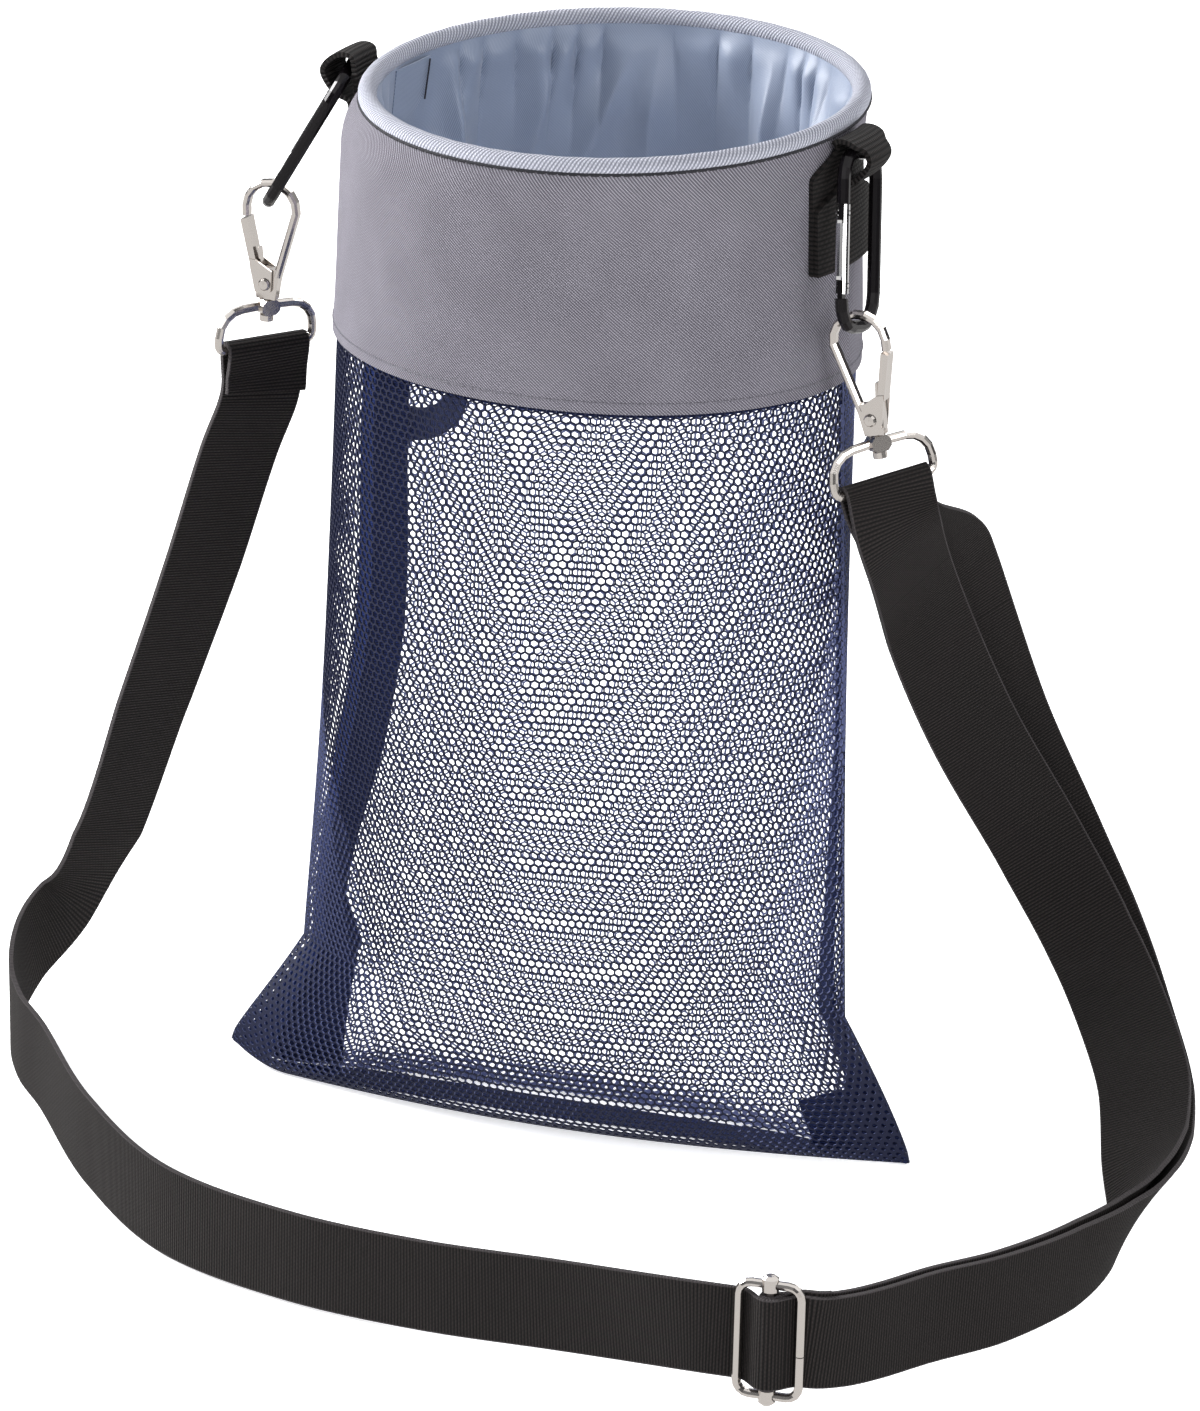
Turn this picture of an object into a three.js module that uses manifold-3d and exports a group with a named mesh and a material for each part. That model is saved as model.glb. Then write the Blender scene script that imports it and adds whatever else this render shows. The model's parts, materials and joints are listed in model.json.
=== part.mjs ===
// Net peg bag: round collar on a net body, with two carabiners, two swivel snap hooks and an
// adjustable shoulder strap. Millimetres, +Z up. The origin is the middle of the base, on the
// surface that the bag stands on. +X runs to the right webbing loop and +Y to the back.
import * as THREE from 'three';
import { mergeVertices } from 'three/addons/utils/BufferGeometryUtils.js';
import Module from 'manifold-3d';

const wasm = await Module();
wasm.setup();

// Clearance between pieces that touch
const GAP = 0.3;

// Mouth: rolled piping over a wire hoop
const BAG_HEIGHT = 350;
const MOUTH_HALF_LENGTH = 83;
const MOUTH_HALF_DEPTH = 81.7;
const PIPING_RADIUS = 3.4;
const PIPING_WALL = 1.6;
const PIPING_SLIT_DEG = 70;

// Collar band, its lining and the tape inside its lower seam
const COLLAR_HEIGHT = 84;
const COLLAR_WALL = 1.2;
const COLLAR_INSET = 0.6;
const COLLAR_FLARE = 3;
const COLLAR_NARROWING = 9.2;
const LINING_WALL = 0.7;
const LINING_FOLDS = 22;
const LINING_FOLD_DEPTH = 1.1;
const SEAM_OVERLAP = 10;
const SEAM_TAPE_WALL = 1;

// Net body: an oval under the collar that flattens to a slim lens with pointed corners
const NET_WALL = 1;
const NET_GAPS_ACROSS = 10;
const NET_GAPS_UP = 11;
const NET_GAP_SHARE = 0.66;
const NET_HEM = 6;
const NET_WIDENING = 9;
const NET_SWELL = 0.45;
const NET_POINT_FADE = 1.5;
const CORNER_REACH = 22;
const CORNER_HEIGHT = 48;
const CORNER_FULLNESS = 1.2;
const BASE_HALF_DEPTH = 13;
const BASE_TURN_DEG = 5;
const LEFT_SLUMP = 6.5;
const LEFT_LIFT = 8;
const SEAM_HALF_WIDTH = 1.3;
const SEAM_DEPTH = 12;
const BASE_TAPE_HALF_WIDTH = 6.5;
const BASE_TAPE_WALL = 1;

// Webbing loops on the collar
const LOOP_FOOT_WIDTH = 36;
const LOOP_TOP_WIDTH = 14;
const LOOP_THICKNESS = 1.6;
const LOOP_FOOT_DROP = 44.5;
const LOOP_SIDE_OFFSET = 5;

// Carabiner: centre line sizes of the rod, gate and pins
const CARABINER_LENGTH = 54;
const CARABINER_WIDTH = 26;
const CARABINER_ROD_RADIUS = 2.1;
const CARABINER_TOP_BEND = 8;
const CARABINER_FOOT_BEND = 10.4;
const CARABINER_PIVOT_DROP = 8;
const CARABINER_PIVOT_OUT = 7;
const GATE_RADIUS = 2.2;
const GATE_TOP_DROP = 15.5;
const GATE_HINGE_DROP = 41;
const GATE_TANG_THICKNESS = 1.6;
const GATE_PIN_RADIUS = 0.7;
const LATCH_PIN_RADIUS = 0.6;
const LATCH_DROP = 18.5;

// Snap hook: eye, block, stem and gate
const HOOK_EYE_RADIUS = 8.8;
const HOOK_EASE = 0.8;
const HOOK_THICKNESS = 2.4;
const HOOK_DEPTH = 3.6;
const HOOK_NOSE_LENGTH = 3.4;
const BLOCK_TOP = 24.6;
const BLOCK_HEIGHT = 10.3;
const BLOCK_TOP_HALF_WIDTH = 4.6;
const BLOCK_FOOT_HALF_WIDTH = 3.3;
const BLOCK_DEPTH = 3.4;
const CHEEK_THICKNESS = 0.8;
const RIVET_RADIUS = 1.2;
const RIVET_HEAD_RADIUS = 2.1;
const RIVET_HEAD_HEIGHT = 0.9;
const RIVET_DROP = 29.6;
const SPRING_THICKNESS = 0.7;
const SPRING_RISE = 5.8;
const STEM_RADIUS = 1.5;

// D-ring
const D_WIRE_RADIUS = 1.5;
const D_INNER_WIDTH = 32.2;
const D_DROP = 13.5;
const BOSS_HEIGHT = 5;
const BOSS_WIDTH = 6.8;
const BOSS_DEPTH = 5.4;

// How each clip hangs at rest, in degrees
const CLIP_POSES = {
  right: { lean: 7, tilt: 15, twist: 0, hookLean: 13, ringTurn: 50 },
  left: { lean: 30, tilt: 0, twist: 13.5, hookLean: 2, ringTurn: 57 },
};

// Strap and slider
const STRAP_WIDTH = 30;
const STRAP_THICKNESS = 1.5;
const STUB_LENGTH = 18;
const RISER_SPREAD = 3;
const RISER_SHIFT = 16;
const RISER_SHIFT_RISE = 3.5;
const RING_EASE = 24;
const SLIDER_LEAD = 26;
const SLIDER_INNER_WIDTH = 16.8;
const SLIDER_END_ROOM = 3.4;
const SLIDER_WIRE_RADIUS = 1.45;
const SLIDER_CORNER = 4;
const BAR_RADIUS = 1.5;
const KNOB_RADIUS = 2.7;

// Facets
const NET_ROW_CROWDING = 1.25;
const SEAM_ROW_CROWDING = 1.7;
const RING_COLUMNS = 48;
const ARC_STEP_DEG = 22.5;
const LINING_SAMPLES_PER_FOLD = 4;
const ROD_SIDES = 10;
const STRAP_STEP = 14;
const STRAP_BEND_STEP = 1.9;
const STRAP_HUMP_STEP = 1.6;

// Colours and finishes
const FINISHES = {
  net: { color: '#1d2c5a', roughness: 0.9, metalness: 0 },
  grey: { color: '#8b8d92', roughness: 0.9, metalness: 0 },
  satin: { color: '#93a3b8', roughness: 0.45, metalness: 0 },
  webbing: { color: '#1a1a1c', roughness: 0.85, metalness: 0 },
  anodised: { color: '#17171a', roughness: 0.35, metalness: 0.6 },
  bright: { color: '#d5d7da', roughness: 0.25, metalness: 1 },
  nickel: { color: '#c9c4bd', roughness: 0.2, metalness: 1 },
};

const part = new THREE.Group();
const UP = new THREE.Vector3(0, 0, 1);
const rad = THREE.MathUtils.degToRad;
const lerp = THREE.MathUtils.lerp;

function addMesh(parent, name, geometry, finish) {
  const mesh = new THREE.Mesh(geometry, new THREE.MeshStandardMaterial(FINISHES[finish]));
  mesh.name = name;
  parent.add(mesh);
  return mesh;
}

// Indexed geometry with its faces turned outwards
function closedGeometry(points, triangles) {
  let volume = 0;
  const cross = new THREE.Vector3();
  for (const [a, b, c] of triangles) {
    volume += cross.crossVectors(points[b], points[c]).dot(points[a]);
  }
  const facing = volume > 0 ? triangles : triangles.map(([a, b, c]) => [a, c, b]);
  const geometry = new THREE.BufferGeometry();
  const places = points.flatMap((p) => [p.x, p.y, p.z]);
  geometry.setAttribute('position', new THREE.Float32BufferAttribute(places, 3));
  geometry.setIndex(facing.flat());
  geometry.computeVertexNormals();
  return geometry;
}

// A wall between two grids of points. A ring is closed along its columns, and a cell may be a
// gap through the wall.
function wall(outer, inner, ring, isGap = () => false) {
  const rows = outer.length;
  const columns = outer[0].length;
  const points = [...outer.flat(), ...inner.flat()];
  const triangles = [];
  const at = (side, row, column) => side * rows * columns + row * columns + (column % columns);
  const quad = (a, b, c, d) => triangles.push([a, b, c], [a, c, d]);
  const spans = ring ? columns : columns - 1;
  for (let row = 0; row < rows - 1; row++) {
    for (let column = 0; column < spans; column++) {
      const corners = [[row, column], [row, column + 1], [row + 1, column + 1], [row + 1, column]];
      const near = corners.map((corner) => at(0, ...corner));
      const far = corners.map((corner) => at(1, ...corner));
      if (isGap(row, column)) {
        for (let i = 0; i < 4; i++) {
          const j = (i + 1) % 4;
          quad(near[i], near[j], far[j], far[i]);
        }
      } else {
        quad(...near);
        quad(...far.reverse());
      }
    }
  }
  for (let column = 0; column < spans; column++) {
    const next = column + 1;
    const last = rows - 1;
    quad(at(0, 0, column), at(1, 0, column), at(1, 0, next), at(0, 0, next));
    quad(at(0, last, column), at(0, last, next), at(1, last, next), at(1, last, column));
  }
  for (let row = 0; row < rows - 1 && !ring; row++) {
    const last = columns - 1;
    quad(at(0, row, 0), at(0, row + 1, 0), at(1, row + 1, 0), at(1, row, 0));
    quad(at(0, row, last), at(1, row, last), at(1, row + 1, last), at(0, row + 1, last));
  }
  return closedGeometry(points, triangles);
}

// A solid swept through a list of convex sections. A hoop joins its last section to its first.
function sweep(sections, hoop) {
  const count = sections[0].length;
  const triangles = [];
  const steps = hoop ? sections.length : sections.length - 1;
  for (let step = 0; step < steps; step++) {
    const here = step * count;
    const there = ((step + 1) % sections.length) * count;
    for (let side = 0; side < count; side++) {
      const next = (side + 1) % count;
      triangles.push([here + side, here + next, there + next], [here + side, there + next, there + side]);
    }
  }
  const end = (sections.length - 1) * count;
  for (let side = 1; side < count - 1 && !hoop; side++) {
    triangles.push([0, side + 1, side], [end, end + side, end + side + 1]);
  }
  return closedGeometry(sections.flat(), triangles);
}

function solid(geometry) {
  const bare = geometry.clone();
  bare.deleteAttribute('normal');
  bare.deleteAttribute('uv');
  const merged = mergeVertices(bare, 1e-4);
  const vertProperties = new Float32Array(merged.attributes.position.array);
  const triVerts = new Uint32Array(merged.index.array);
  return new wasm.Manifold(new wasm.Mesh({ numProp: 3, vertProperties, triVerts }));
}

function fromSolid(body) {
  const mesh = body.getMesh();
  const geometry = new THREE.BufferGeometry();
  geometry.setAttribute('position', new THREE.Float32BufferAttribute(mesh.vertProperties, 3));
  geometry.setIndex([...mesh.triVerts]);
  geometry.computeVertexNormals();
  return geometry;
}

function joined(geometries, cuts = []) {
  let body = solid(geometries[0]);
  for (const geometry of geometries.slice(1)) {
    body = body.add(solid(geometry));
  }
  for (const cut of cuts) {
    body = body.subtract(solid(cut));
  }
  return fromSolid(body);
}

// Path of straight legs whose corners are arcs. Each point is [x, y, corner radius].
function roundedPath(points) {
  const path = new THREE.Path();
  path.moveTo(points[0][0], points[0][1]);
  for (let i = 1; i < points.length - 1; i++) {
    const corner = new THREE.Vector2(points[i][0], points[i][1]);
    const back = new THREE.Vector2(points[i - 1][0], points[i - 1][1]).sub(corner).normalize();
    const on = new THREE.Vector2(points[i + 1][0], points[i + 1][1]).sub(corner).normalize();
    const half = Math.acos(back.dot(on)) / 2;
    const radius = points[i][2];
    const start = corner.clone().addScaledVector(back, radius / Math.tan(half));
    const end = corner.clone().addScaledVector(on, radius / Math.tan(half));
    const inward = back.clone().add(on).normalize();
    const centre = corner.clone().addScaledVector(inward, radius / Math.sin(half));
    const from = Math.atan2(start.y - centre.y, start.x - centre.x);
    const to = Math.atan2(end.y - centre.y, end.x - centre.x);
    path.lineTo(start.x, start.y);
    path.absarc(centre.x, centre.y, radius, from, to, back.cross(on) > 0);
  }
  const last = points[points.length - 1];
  path.lineTo(last[0], last[1]);
  return path;
}

// A flat path set upright: its x runs along X or Y, its y runs up. A straight leg is one step
// and an arc is as many as its angle needs.
class UprightCurve extends THREE.Curve {
  constructor(path, alongX) {
    super();
    this.path = path;
    this.alongX = alongX;
    const ends = path.getCurveLengths();
    const total = ends[ends.length - 1];
    this.marks = [0];
    path.curves.forEach((leg, i) => {
      const start = i ? ends[i - 1] : 0;
      const turn = leg.isEllipseCurve ? (ends[i] - start) / leg.xRadius : 0;
      const steps = Math.max(1, Math.ceil(turn / rad(ARC_STEP_DEG) - 1e-6));
      for (let step = 1; step <= steps; step++) {
        this.marks.push(lerp(start, ends[i], step / steps) / total);
      }
    });
    this.steps = this.marks.length - 1;
  }
  getPoint(t) {
    const step = THREE.MathUtils.clamp(t, 0, 1) * this.steps;
    const row = Math.min(Math.floor(step), this.steps - 1);
    const p = this.path.getPoint(lerp(this.marks[row], this.marks[row + 1], step - row));
    return this.alongX ? new THREE.Vector3(p.x, 0, p.y) : new THREE.Vector3(0, p.x, p.y);
  }
  getPointAt(u) {
    return this.getPoint(u);
  }
  getTangentAt(u) {
    return this.getTangent(u);
  }
}

function polygonShape(radius, sides) {
  const points = [];
  for (let side = 0; side < sides; side++) {
    const angle = (2 * Math.PI * side) / sides;
    points.push(new THREE.Vector2(radius * Math.cos(angle), radius * Math.sin(angle)));
  }
  return new THREE.Shape(points);
}

function sweptAlong(shape, curve) {
  const options = { steps: curve.steps, extrudePath: curve, bevelEnabled: false };
  return new THREE.ExtrudeGeometry(shape, options);
}

function wire(curve, radius) {
  return sweptAlong(polygonShape(radius, ROD_SIDES), curve);
}

// Plates: an outline in X and Z, or in Y and Z, extruded evenly to both sides
const EAST = new THREE.Vector3(1, 0, 0);
const NORTH = new THREE.Vector3(0, 1, 0);
const ACROSS_Y = new THREE.Matrix4().makeBasis(EAST, UP, NORTH.clone().negate());
const ACROSS_X = new THREE.Matrix4().makeBasis(NORTH, UP, EAST);

function plate(outline, thickness, direction) {
  const shape = outline instanceof THREE.Shape
    ? outline
    : new THREE.Shape(outline.map(([x, y]) => new THREE.Vector2(x, y)));
  const options = { depth: thickness, bevelEnabled: false, curveSegments: 6 };
  const geometry = new THREE.ExtrudeGeometry(shape, options);
  return geometry.translate(0, 0, -thickness / 2).applyMatrix4(direction);
}

// Round bar along X, Y or Z
function bar(radius, length, axis, x = 0, y = 0, z = 0, sides = ROD_SIDES) {
  const geometry = new THREE.CylinderGeometry(radius, radius, length, sides);
  if (axis === 'x') geometry.rotateZ(Math.PI / 2);
  if (axis === 'z') geometry.rotateX(Math.PI / 2);
  return geometry.translate(x, y, z);
}

// Collar and net sections
const RIM_Z = BAG_HEIGHT - PIPING_RADIUS;
const RIM_HALF_LENGTH = MOUTH_HALF_LENGTH - PIPING_RADIUS;
const RIM_HALF_DEPTH = MOUTH_HALF_DEPTH - PIPING_RADIUS;
const COLLAR_FOOT_Z = BAG_HEIGHT - COLLAR_HEIGHT;
const COLLAR_FOOT_HALF_LENGTH = MOUTH_HALF_LENGTH + COLLAR_FLARE;
const COLLAR_FOOT_HALF_DEPTH = MOUTH_HALF_DEPTH - COLLAR_NARROWING;
const COLLAR_TOP_OFFSET = PIPING_RADIUS - COLLAR_INSET - COLLAR_WALL;
const COLLAR_TOP_Z = RIM_Z - Math.sqrt(PIPING_RADIUS ** 2 - COLLAR_TOP_OFFSET ** 2) - GAP;
const NET_TOP_Z = COLLAR_FOOT_Z + SEAM_OVERLAP;
const NET_LOW_HALF_LENGTH = MOUTH_HALF_LENGTH + NET_WIDENING;
const SEAM_EDGE = SEAM_HALF_WIDTH + GAP;
const LOOP_FOOT_Z = BAG_HEIGHT - LOOP_FOOT_DROP;
const CARABINER_PIVOT_Z = BAG_HEIGHT - CARABINER_PIVOT_DROP;

function collarHalves(z, inset) {
  const rise = (z - COLLAR_FOOT_Z) / (COLLAR_TOP_Z - COLLAR_FOOT_Z);
  return [
    lerp(COLLAR_FOOT_HALF_LENGTH, MOUTH_HALF_LENGTH - COLLAR_INSET, rise) - inset,
    lerp(COLLAR_FOOT_HALF_DEPTH, MOUTH_HALF_DEPTH - COLLAR_INSET, rise) - inset,
  ];
}

function netSection(z) {
  const rise = z / NET_TOP_Z;
  const [topLength, topDepth] = collarHalves(NET_TOP_Z, COLLAR_WALL + GAP);
  const corner = Math.max(0, 1 - (z / CORNER_HEIGHT) ** CORNER_FULLNESS);
  return {
    length: lerp(NET_LOW_HALF_LENGTH, topLength, rise) + CORNER_REACH * corner,
    depth: lerp(BASE_HALF_DEPTH, topDepth, rise ** NET_SWELL),
    point: (1 - rise) ** NET_POINT_FADE,
    turn: rad(BASE_TURN_DEG) * (1 - rise),
  };
}

// The bag leans to the left, and its left corner is lifted off the ground
function turned(x, y, z, turn) {
  const side = THREE.MathUtils.clamp(x / NET_LOW_HALF_LENGTH, -1, 1);
  const slump = LEFT_SLUMP * (1 - z / NET_TOP_Z) * (0.5 - 0.5 * side);
  const corner = Math.max(0, -x - NET_LOW_HALF_LENGTH) / CORNER_REACH;
  const lift = LEFT_LIFT * corner ** 2;
  return new THREE.Vector3(x - slump, y, z + lift).applyAxisAngle(UP, turn);
}

// Column angle at which the net reaches its side seam
function seamAngle(depth, point) {
  return Math.asin((SEAM_EDGE / depth) ** (1 / (1 + point)));
}

// Half width of the base tape at a place along the base
function tapeHalfWidth(x) {
  const { length, depth, point } = netSection(0);
  const across = (x / length) * Math.cos(seamAngle(depth, point));
  const lens = depth * Math.max(0, 1 - across ** 2);
  return Math.max(SEAM_HALF_WIDTH - GAP, Math.min(BASE_TAPE_HALF_WIDTH, lens - 3 * GAP - NET_WALL));
}

// Point on the net. The column share runs from the right seam to the left one, and the floor
// row follows the base tape.
function netPoint(z, share, inset, face, floor) {
  const { length, depth, point, turn } = netSection(z);
  const start = seamAngle(depth - inset, point);
  const angle = lerp(start, Math.PI - start, share);
  const x = ((length - inset * (1 + 3 * point)) * Math.cos(angle)) / Math.cos(start);
  const y = floor ? tapeHalfWidth(x) + 2 * GAP : (depth - inset) * Math.sin(angle) ** (1 + point);
  return turned(x, face * y, Math.max(z, inset), turn);
}

// Edges of bars and gaps in turn, from 0 to 1. The first and the last are bars.
function barEdges(gaps) {
  const pitch = 1 / (gaps + 1 - NET_GAP_SHARE);
  const barWidth = pitch * (1 - NET_GAP_SHARE);
  const edges = [0];
  for (let gap = 0; gap < gaps; gap++) {
    edges.push(gap * pitch + barWidth, (gap + 1) * pitch);
  }
  return [...edges, 1];
}

const NET_SHARES = barEdges(NET_GAPS_ACROSS);

// Panel with a grid of gaps between a closed hem at the base and the closed strip in the collar
function netPanel(face) {
  const latticeTop = COLLAR_FOOT_Z - NET_HEM / 2;
  const lattice = barEdges(NET_GAPS_UP).map((rise) => lerp(NET_HEM, latticeTop, rise ** NET_ROW_CROWDING));
  const heights = [0, ...lattice, NET_TOP_Z];
  const rowsAt = (inset) => [
    NET_SHARES.map((share) => netPoint(0, share, inset, face, true)),
    ...heights.map((z) => NET_SHARES.map((share) => netPoint(z, share, inset, face, false))),
  ];
  const firstRow = 2;
  const isGap = (row, column) => {
    const inLattice = row >= firstRow && row < firstRow + lattice.length - 1;
    return inLattice && (row - firstRow) % 2 === 1 && column % 2 === 1;
  };
  return wall(rowsAt(0), rowsAt(NET_WALL), false, isGap);
}

function sideSeam(side) {
  const rows = 9;
  const foot = BASE_TAPE_WALL + 2 * GAP;
  const top = COLLAR_FOOT_Z - SEAM_DEPTH / 2;
  const sections = Array.from({ length: rows + 1 }, (_, row) => {
    const z = lerp(foot, top, (row / rows) ** SEAM_ROW_CROWDING);
    const { length, turn } = netSection(z);
    const edge = length - NET_WALL;
    const corners = [[edge, -1], [edge, 1], [edge - SEAM_DEPTH, 1], [edge - SEAM_DEPTH, -1]];
    return corners.map(([x, y]) => turned(side * x, y * SEAM_HALF_WIDTH, z, turn));
  });
  return sweep(sections, false);
}

function baseTape() {
  const { length, turn } = netSection(0);
  const sections = NET_SHARES.map((share) => {
    const x = (length - NET_WALL) * Math.cos(Math.PI * share);
    const half = tapeHalfWidth(x);
    const corners = [[-half, 0], [half, 0], [half, BASE_TAPE_WALL], [-half, BASE_TAPE_WALL]];
    return corners.map(([y, z]) => turned(x, y, z, turn));
  });
  return sweep(sections, false);
}

function ovalRow(halfLength, halfDepth, z, columns = RING_COLUMNS) {
  return Array.from({ length: columns }, (_, i) => {
    const angle = (2 * Math.PI * i) / columns;
    return new THREE.Vector3(halfLength * Math.cos(angle), halfDepth * Math.sin(angle), z);
  });
}

function collarOuter() {
  const heights = [COLLAR_FOOT_Z, COLLAR_TOP_Z];
  const rows = (inset) => heights.map((z) => ovalRow(...collarHalves(z, inset), z));
  return wall(rows(0), rows(COLLAR_WALL), true);
}

// Room left inside the net by the seam tape, at a height near the collar's foot
function tapeHalves(z, inset) {
  const { length, depth } = netSection(z);
  return [length - NET_WALL - 3 * GAP - inset, depth - NET_WALL - 3 * GAP - inset];
}

function seamTape() {
  const heights = [COLLAR_FOOT_Z - 2, NET_TOP_Z];
  const rows = (inset) => heights.map((z) => ovalRow(...tapeHalves(z, inset), z));
  return wall(rows(0), rows(SEAM_TAPE_WALL), true);
}

// Satin lining: upright folds that fade at the rim and at the seam
function lining() {
  const columns = LINING_FOLDS * LINING_SAMPLES_PER_FOLD;
  const foot = COLLAR_FOOT_Z - 2;
  const top = COLLAR_TOP_Z;
  const [footLength, footDepth] = tapeHalves(foot, SEAM_TAPE_WALL + GAP + LINING_FOLD_DEPTH);
  const topInset = PIPING_RADIUS - COLLAR_TOP_OFFSET + LINING_WALL;
  const rows = (inset) => [0, 0.5, 1].map((rise) => {
    const swell = LINING_FOLD_DEPTH * (0.25 + 0.75 * Math.sin(Math.PI * rise));
    const halfLength = lerp(footLength, RIM_HALF_LENGTH - topInset, rise) - inset;
    const halfDepth = lerp(footDepth, RIM_HALF_DEPTH - topInset, rise) - inset;
    return Array.from({ length: columns }, (_, i) => {
      const angle = (2 * Math.PI * i) / columns;
      const fold = swell * Math.cos(LINING_FOLDS * angle);
      const x = (halfLength + fold) * Math.cos(angle);
      const y = (halfDepth + fold) * Math.sin(angle);
      return new THREE.Vector3(x, y, lerp(foot, top, rise));
    });
  });
  return wall(rows(0), rows(LINING_WALL), true);
}

// Places round the rim: the middle of the piping and the direction away from the bag
function rimFrames(columns) {
  return Array.from({ length: columns }, (_, i) => {
    const angle = (2 * Math.PI * i) / columns;
    const across = Math.cos(angle);
    const along = Math.sin(angle);
    const middle = new THREE.Vector3(RIM_HALF_LENGTH * across, RIM_HALF_DEPTH * along, RIM_Z);
    const out = new THREE.Vector3(RIM_HALF_DEPTH * across, RIM_HALF_LENGTH * along, 0);
    return { middle, out: out.normalize() };
  });
}

function rimPoint({ middle, out }, radius, angle) {
  const place = middle.clone().addScaledVector(out, radius * Math.sin(angle));
  return place.addScaledVector(UP, radius * Math.cos(angle));
}

// Piping rolled over the hoop, slit along its underside
function piping() {
  const facets = 8;
  const open = rad(PIPING_SLIT_DEG) / 2;
  const rows = (radius) => Array.from({ length: facets + 1 }, (_, i) => {
    const angle = lerp(-Math.PI + open, Math.PI - open, i / facets);
    return rimFrames(RING_COLUMNS).map((frame) => rimPoint(frame, radius, angle));
  });
  return wall(rows(PIPING_RADIUS), rows(PIPING_RADIUS - PIPING_WALL), true);
}

function hoop() {
  const sides = 6;
  const radius = PIPING_RADIUS - PIPING_WALL - GAP;
  const sections = rimFrames(RING_COLUMNS).map((frame) => (
    Array.from({ length: sides }, (_, i) => rimPoint(frame, radius, (2 * Math.PI * i) / sides))
  ));
  return sweep(sections, true);
}

// Folded webbing: up the collar, over the carabiner's rod and back down to the same seam.
// Route points are [distance off the collar, height].
function webbingLoop(side) {
  const half = LOOP_THICKNESS / 2;
  const inner = GAP + half;
  const outer = inner + LOOP_THICKNESS + GAP;
  const out = CARABINER_PIVOT_OUT;
  const up = CARABINER_PIVOT_Z;
  const round = CARABINER_ROD_RADIUS + GAP + half;
  const route = new THREE.CatmullRomCurve3([
    new THREE.Vector3(inner, 0, LOOP_FOOT_Z),
    new THREE.Vector3(inner, 0, up - 14),
    new THREE.Vector3(inner + 0.2, 0, up - 5),
    new THREE.Vector3(inner + 1.6, 0, up + 1),
    new THREE.Vector3(out - 3, 0, up + round + 2.2),
    new THREE.Vector3(out + 2, 0, up + round + 2.2),
    new THREE.Vector3(out + round + 3.6, 0, up),
    new THREE.Vector3(out + 2.2, 0, up - round - 3.7),
    new THREE.Vector3(outer + 0.8, 0, up - round - 6.2),
    new THREE.Vector3(outer, 0, up - round - 9.6),
    new THREE.Vector3(outer, 0, LOOP_FOOT_Z),
  ]);
  const steps = 26;
  const acrossCount = 4;
  const sections = route.getSpacedPoints(steps).map((middle, step) => {
    const along = route.getTangentAt(step / steps);
    const normal = new THREE.Vector3(along.z, 0, -along.x);
    const gather = THREE.MathUtils.smoothstep(middle.z, up - 18, up - 6);
    const width = lerp(LOOP_FOOT_WIDTH, LOOP_TOP_WIDTH, gather);
    const row = (shift) => Array.from({ length: acrossCount + 1 }, (_, i) => {
      const y = width * (i / acrossCount - 0.5) - LOOP_SIDE_OFFSET;
      const off = middle.x + shift * normal.x;
      const z = middle.z + shift * normal.z;
      const [length, depth] = collarHalves(z, 0);
      const x = length * Math.sqrt(1 - (y / depth) ** 2) + off;
      return new THREE.Vector3(side * x, side * y, z);
    });
    return [...row(half), ...row(-half).reverse()];
  });
  return ribbonSweep(sections);
}

// A sweep whose ends are flat strips of two rows of points
function ribbonSweep(sections) {
  const count = sections[0].length;
  const rows = [0, 1].map((row) => sections.map((section) => (
    row ? section.slice(count / 2).reverse() : section.slice(0, count / 2)
  )));
  return wall(rows[0], rows[1], false);
}

// Carabiner: rod bent round a straight spine, open on the gate's side.
// Its own origin is the middle of the top rod, with the spine towards +Y.
function carabinerBody() {
  const half = CARABINER_WIDTH / 2;
  const hingeEnd = GATE_HINGE_DROP + GATE_RADIUS + 6 * GAP;
  const route = roundedPath([
    [-half, -GATE_TOP_DROP],
    [-half, 0, CARABINER_TOP_BEND],
    [half, 0, CARABINER_TOP_BEND],
    [half, -CARABINER_LENGTH, CARABINER_FOOT_BEND],
    [-half, -CARABINER_LENGTH, CARABINER_LENGTH - hingeEnd - GAP],
    [-half, -hingeEnd],
  ]);
  const rod = wire(new UprightCurve(route, false), CARABINER_ROD_RADIUS);
  const tangHalf = GATE_PIN_RADIUS * 2;
  const tangTop = -GATE_HINGE_DROP + GATE_PIN_RADIUS * 2.5;
  const tang = plate([
    [-half - tangHalf, -hingeEnd - CARABINER_ROD_RADIUS],
    [-half + tangHalf, -hingeEnd - CARABINER_ROD_RADIUS],
    [-half + tangHalf, tangTop],
    [-half - tangHalf, tangTop],
  ], GATE_TANG_THICKNESS, ACROSS_X);
  const pinHole = bar(GATE_PIN_RADIUS + GAP, 4 * GATE_TANG_THICKNESS, 'x', 0, -half, -GATE_HINGE_DROP);
  const notch = LATCH_PIN_RADIUS + GAP;
  const hookTip = LATCH_DROP + notch + 1.3;
  const lip = -half + CARABINER_ROD_RADIUS / 2;
  const seat = -half - notch;
  const tongue = plate([
    [-half - CARABINER_ROD_RADIUS * 0.8, -GATE_TOP_DROP + 1],
    [-half - CARABINER_ROD_RADIUS * 0.8, -hookTip],
    [lip, -hookTip],
    [lip, -LATCH_DROP - notch],
    [seat, -LATCH_DROP - notch],
    [seat, -LATCH_DROP + notch],
    [lip, -LATCH_DROP + notch],
    [lip, -GATE_TOP_DROP + 1],
  ], GATE_TANG_THICKNESS, ACROSS_X);
  return joined([rod, tang, tongue], [pinHole]);
}

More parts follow.
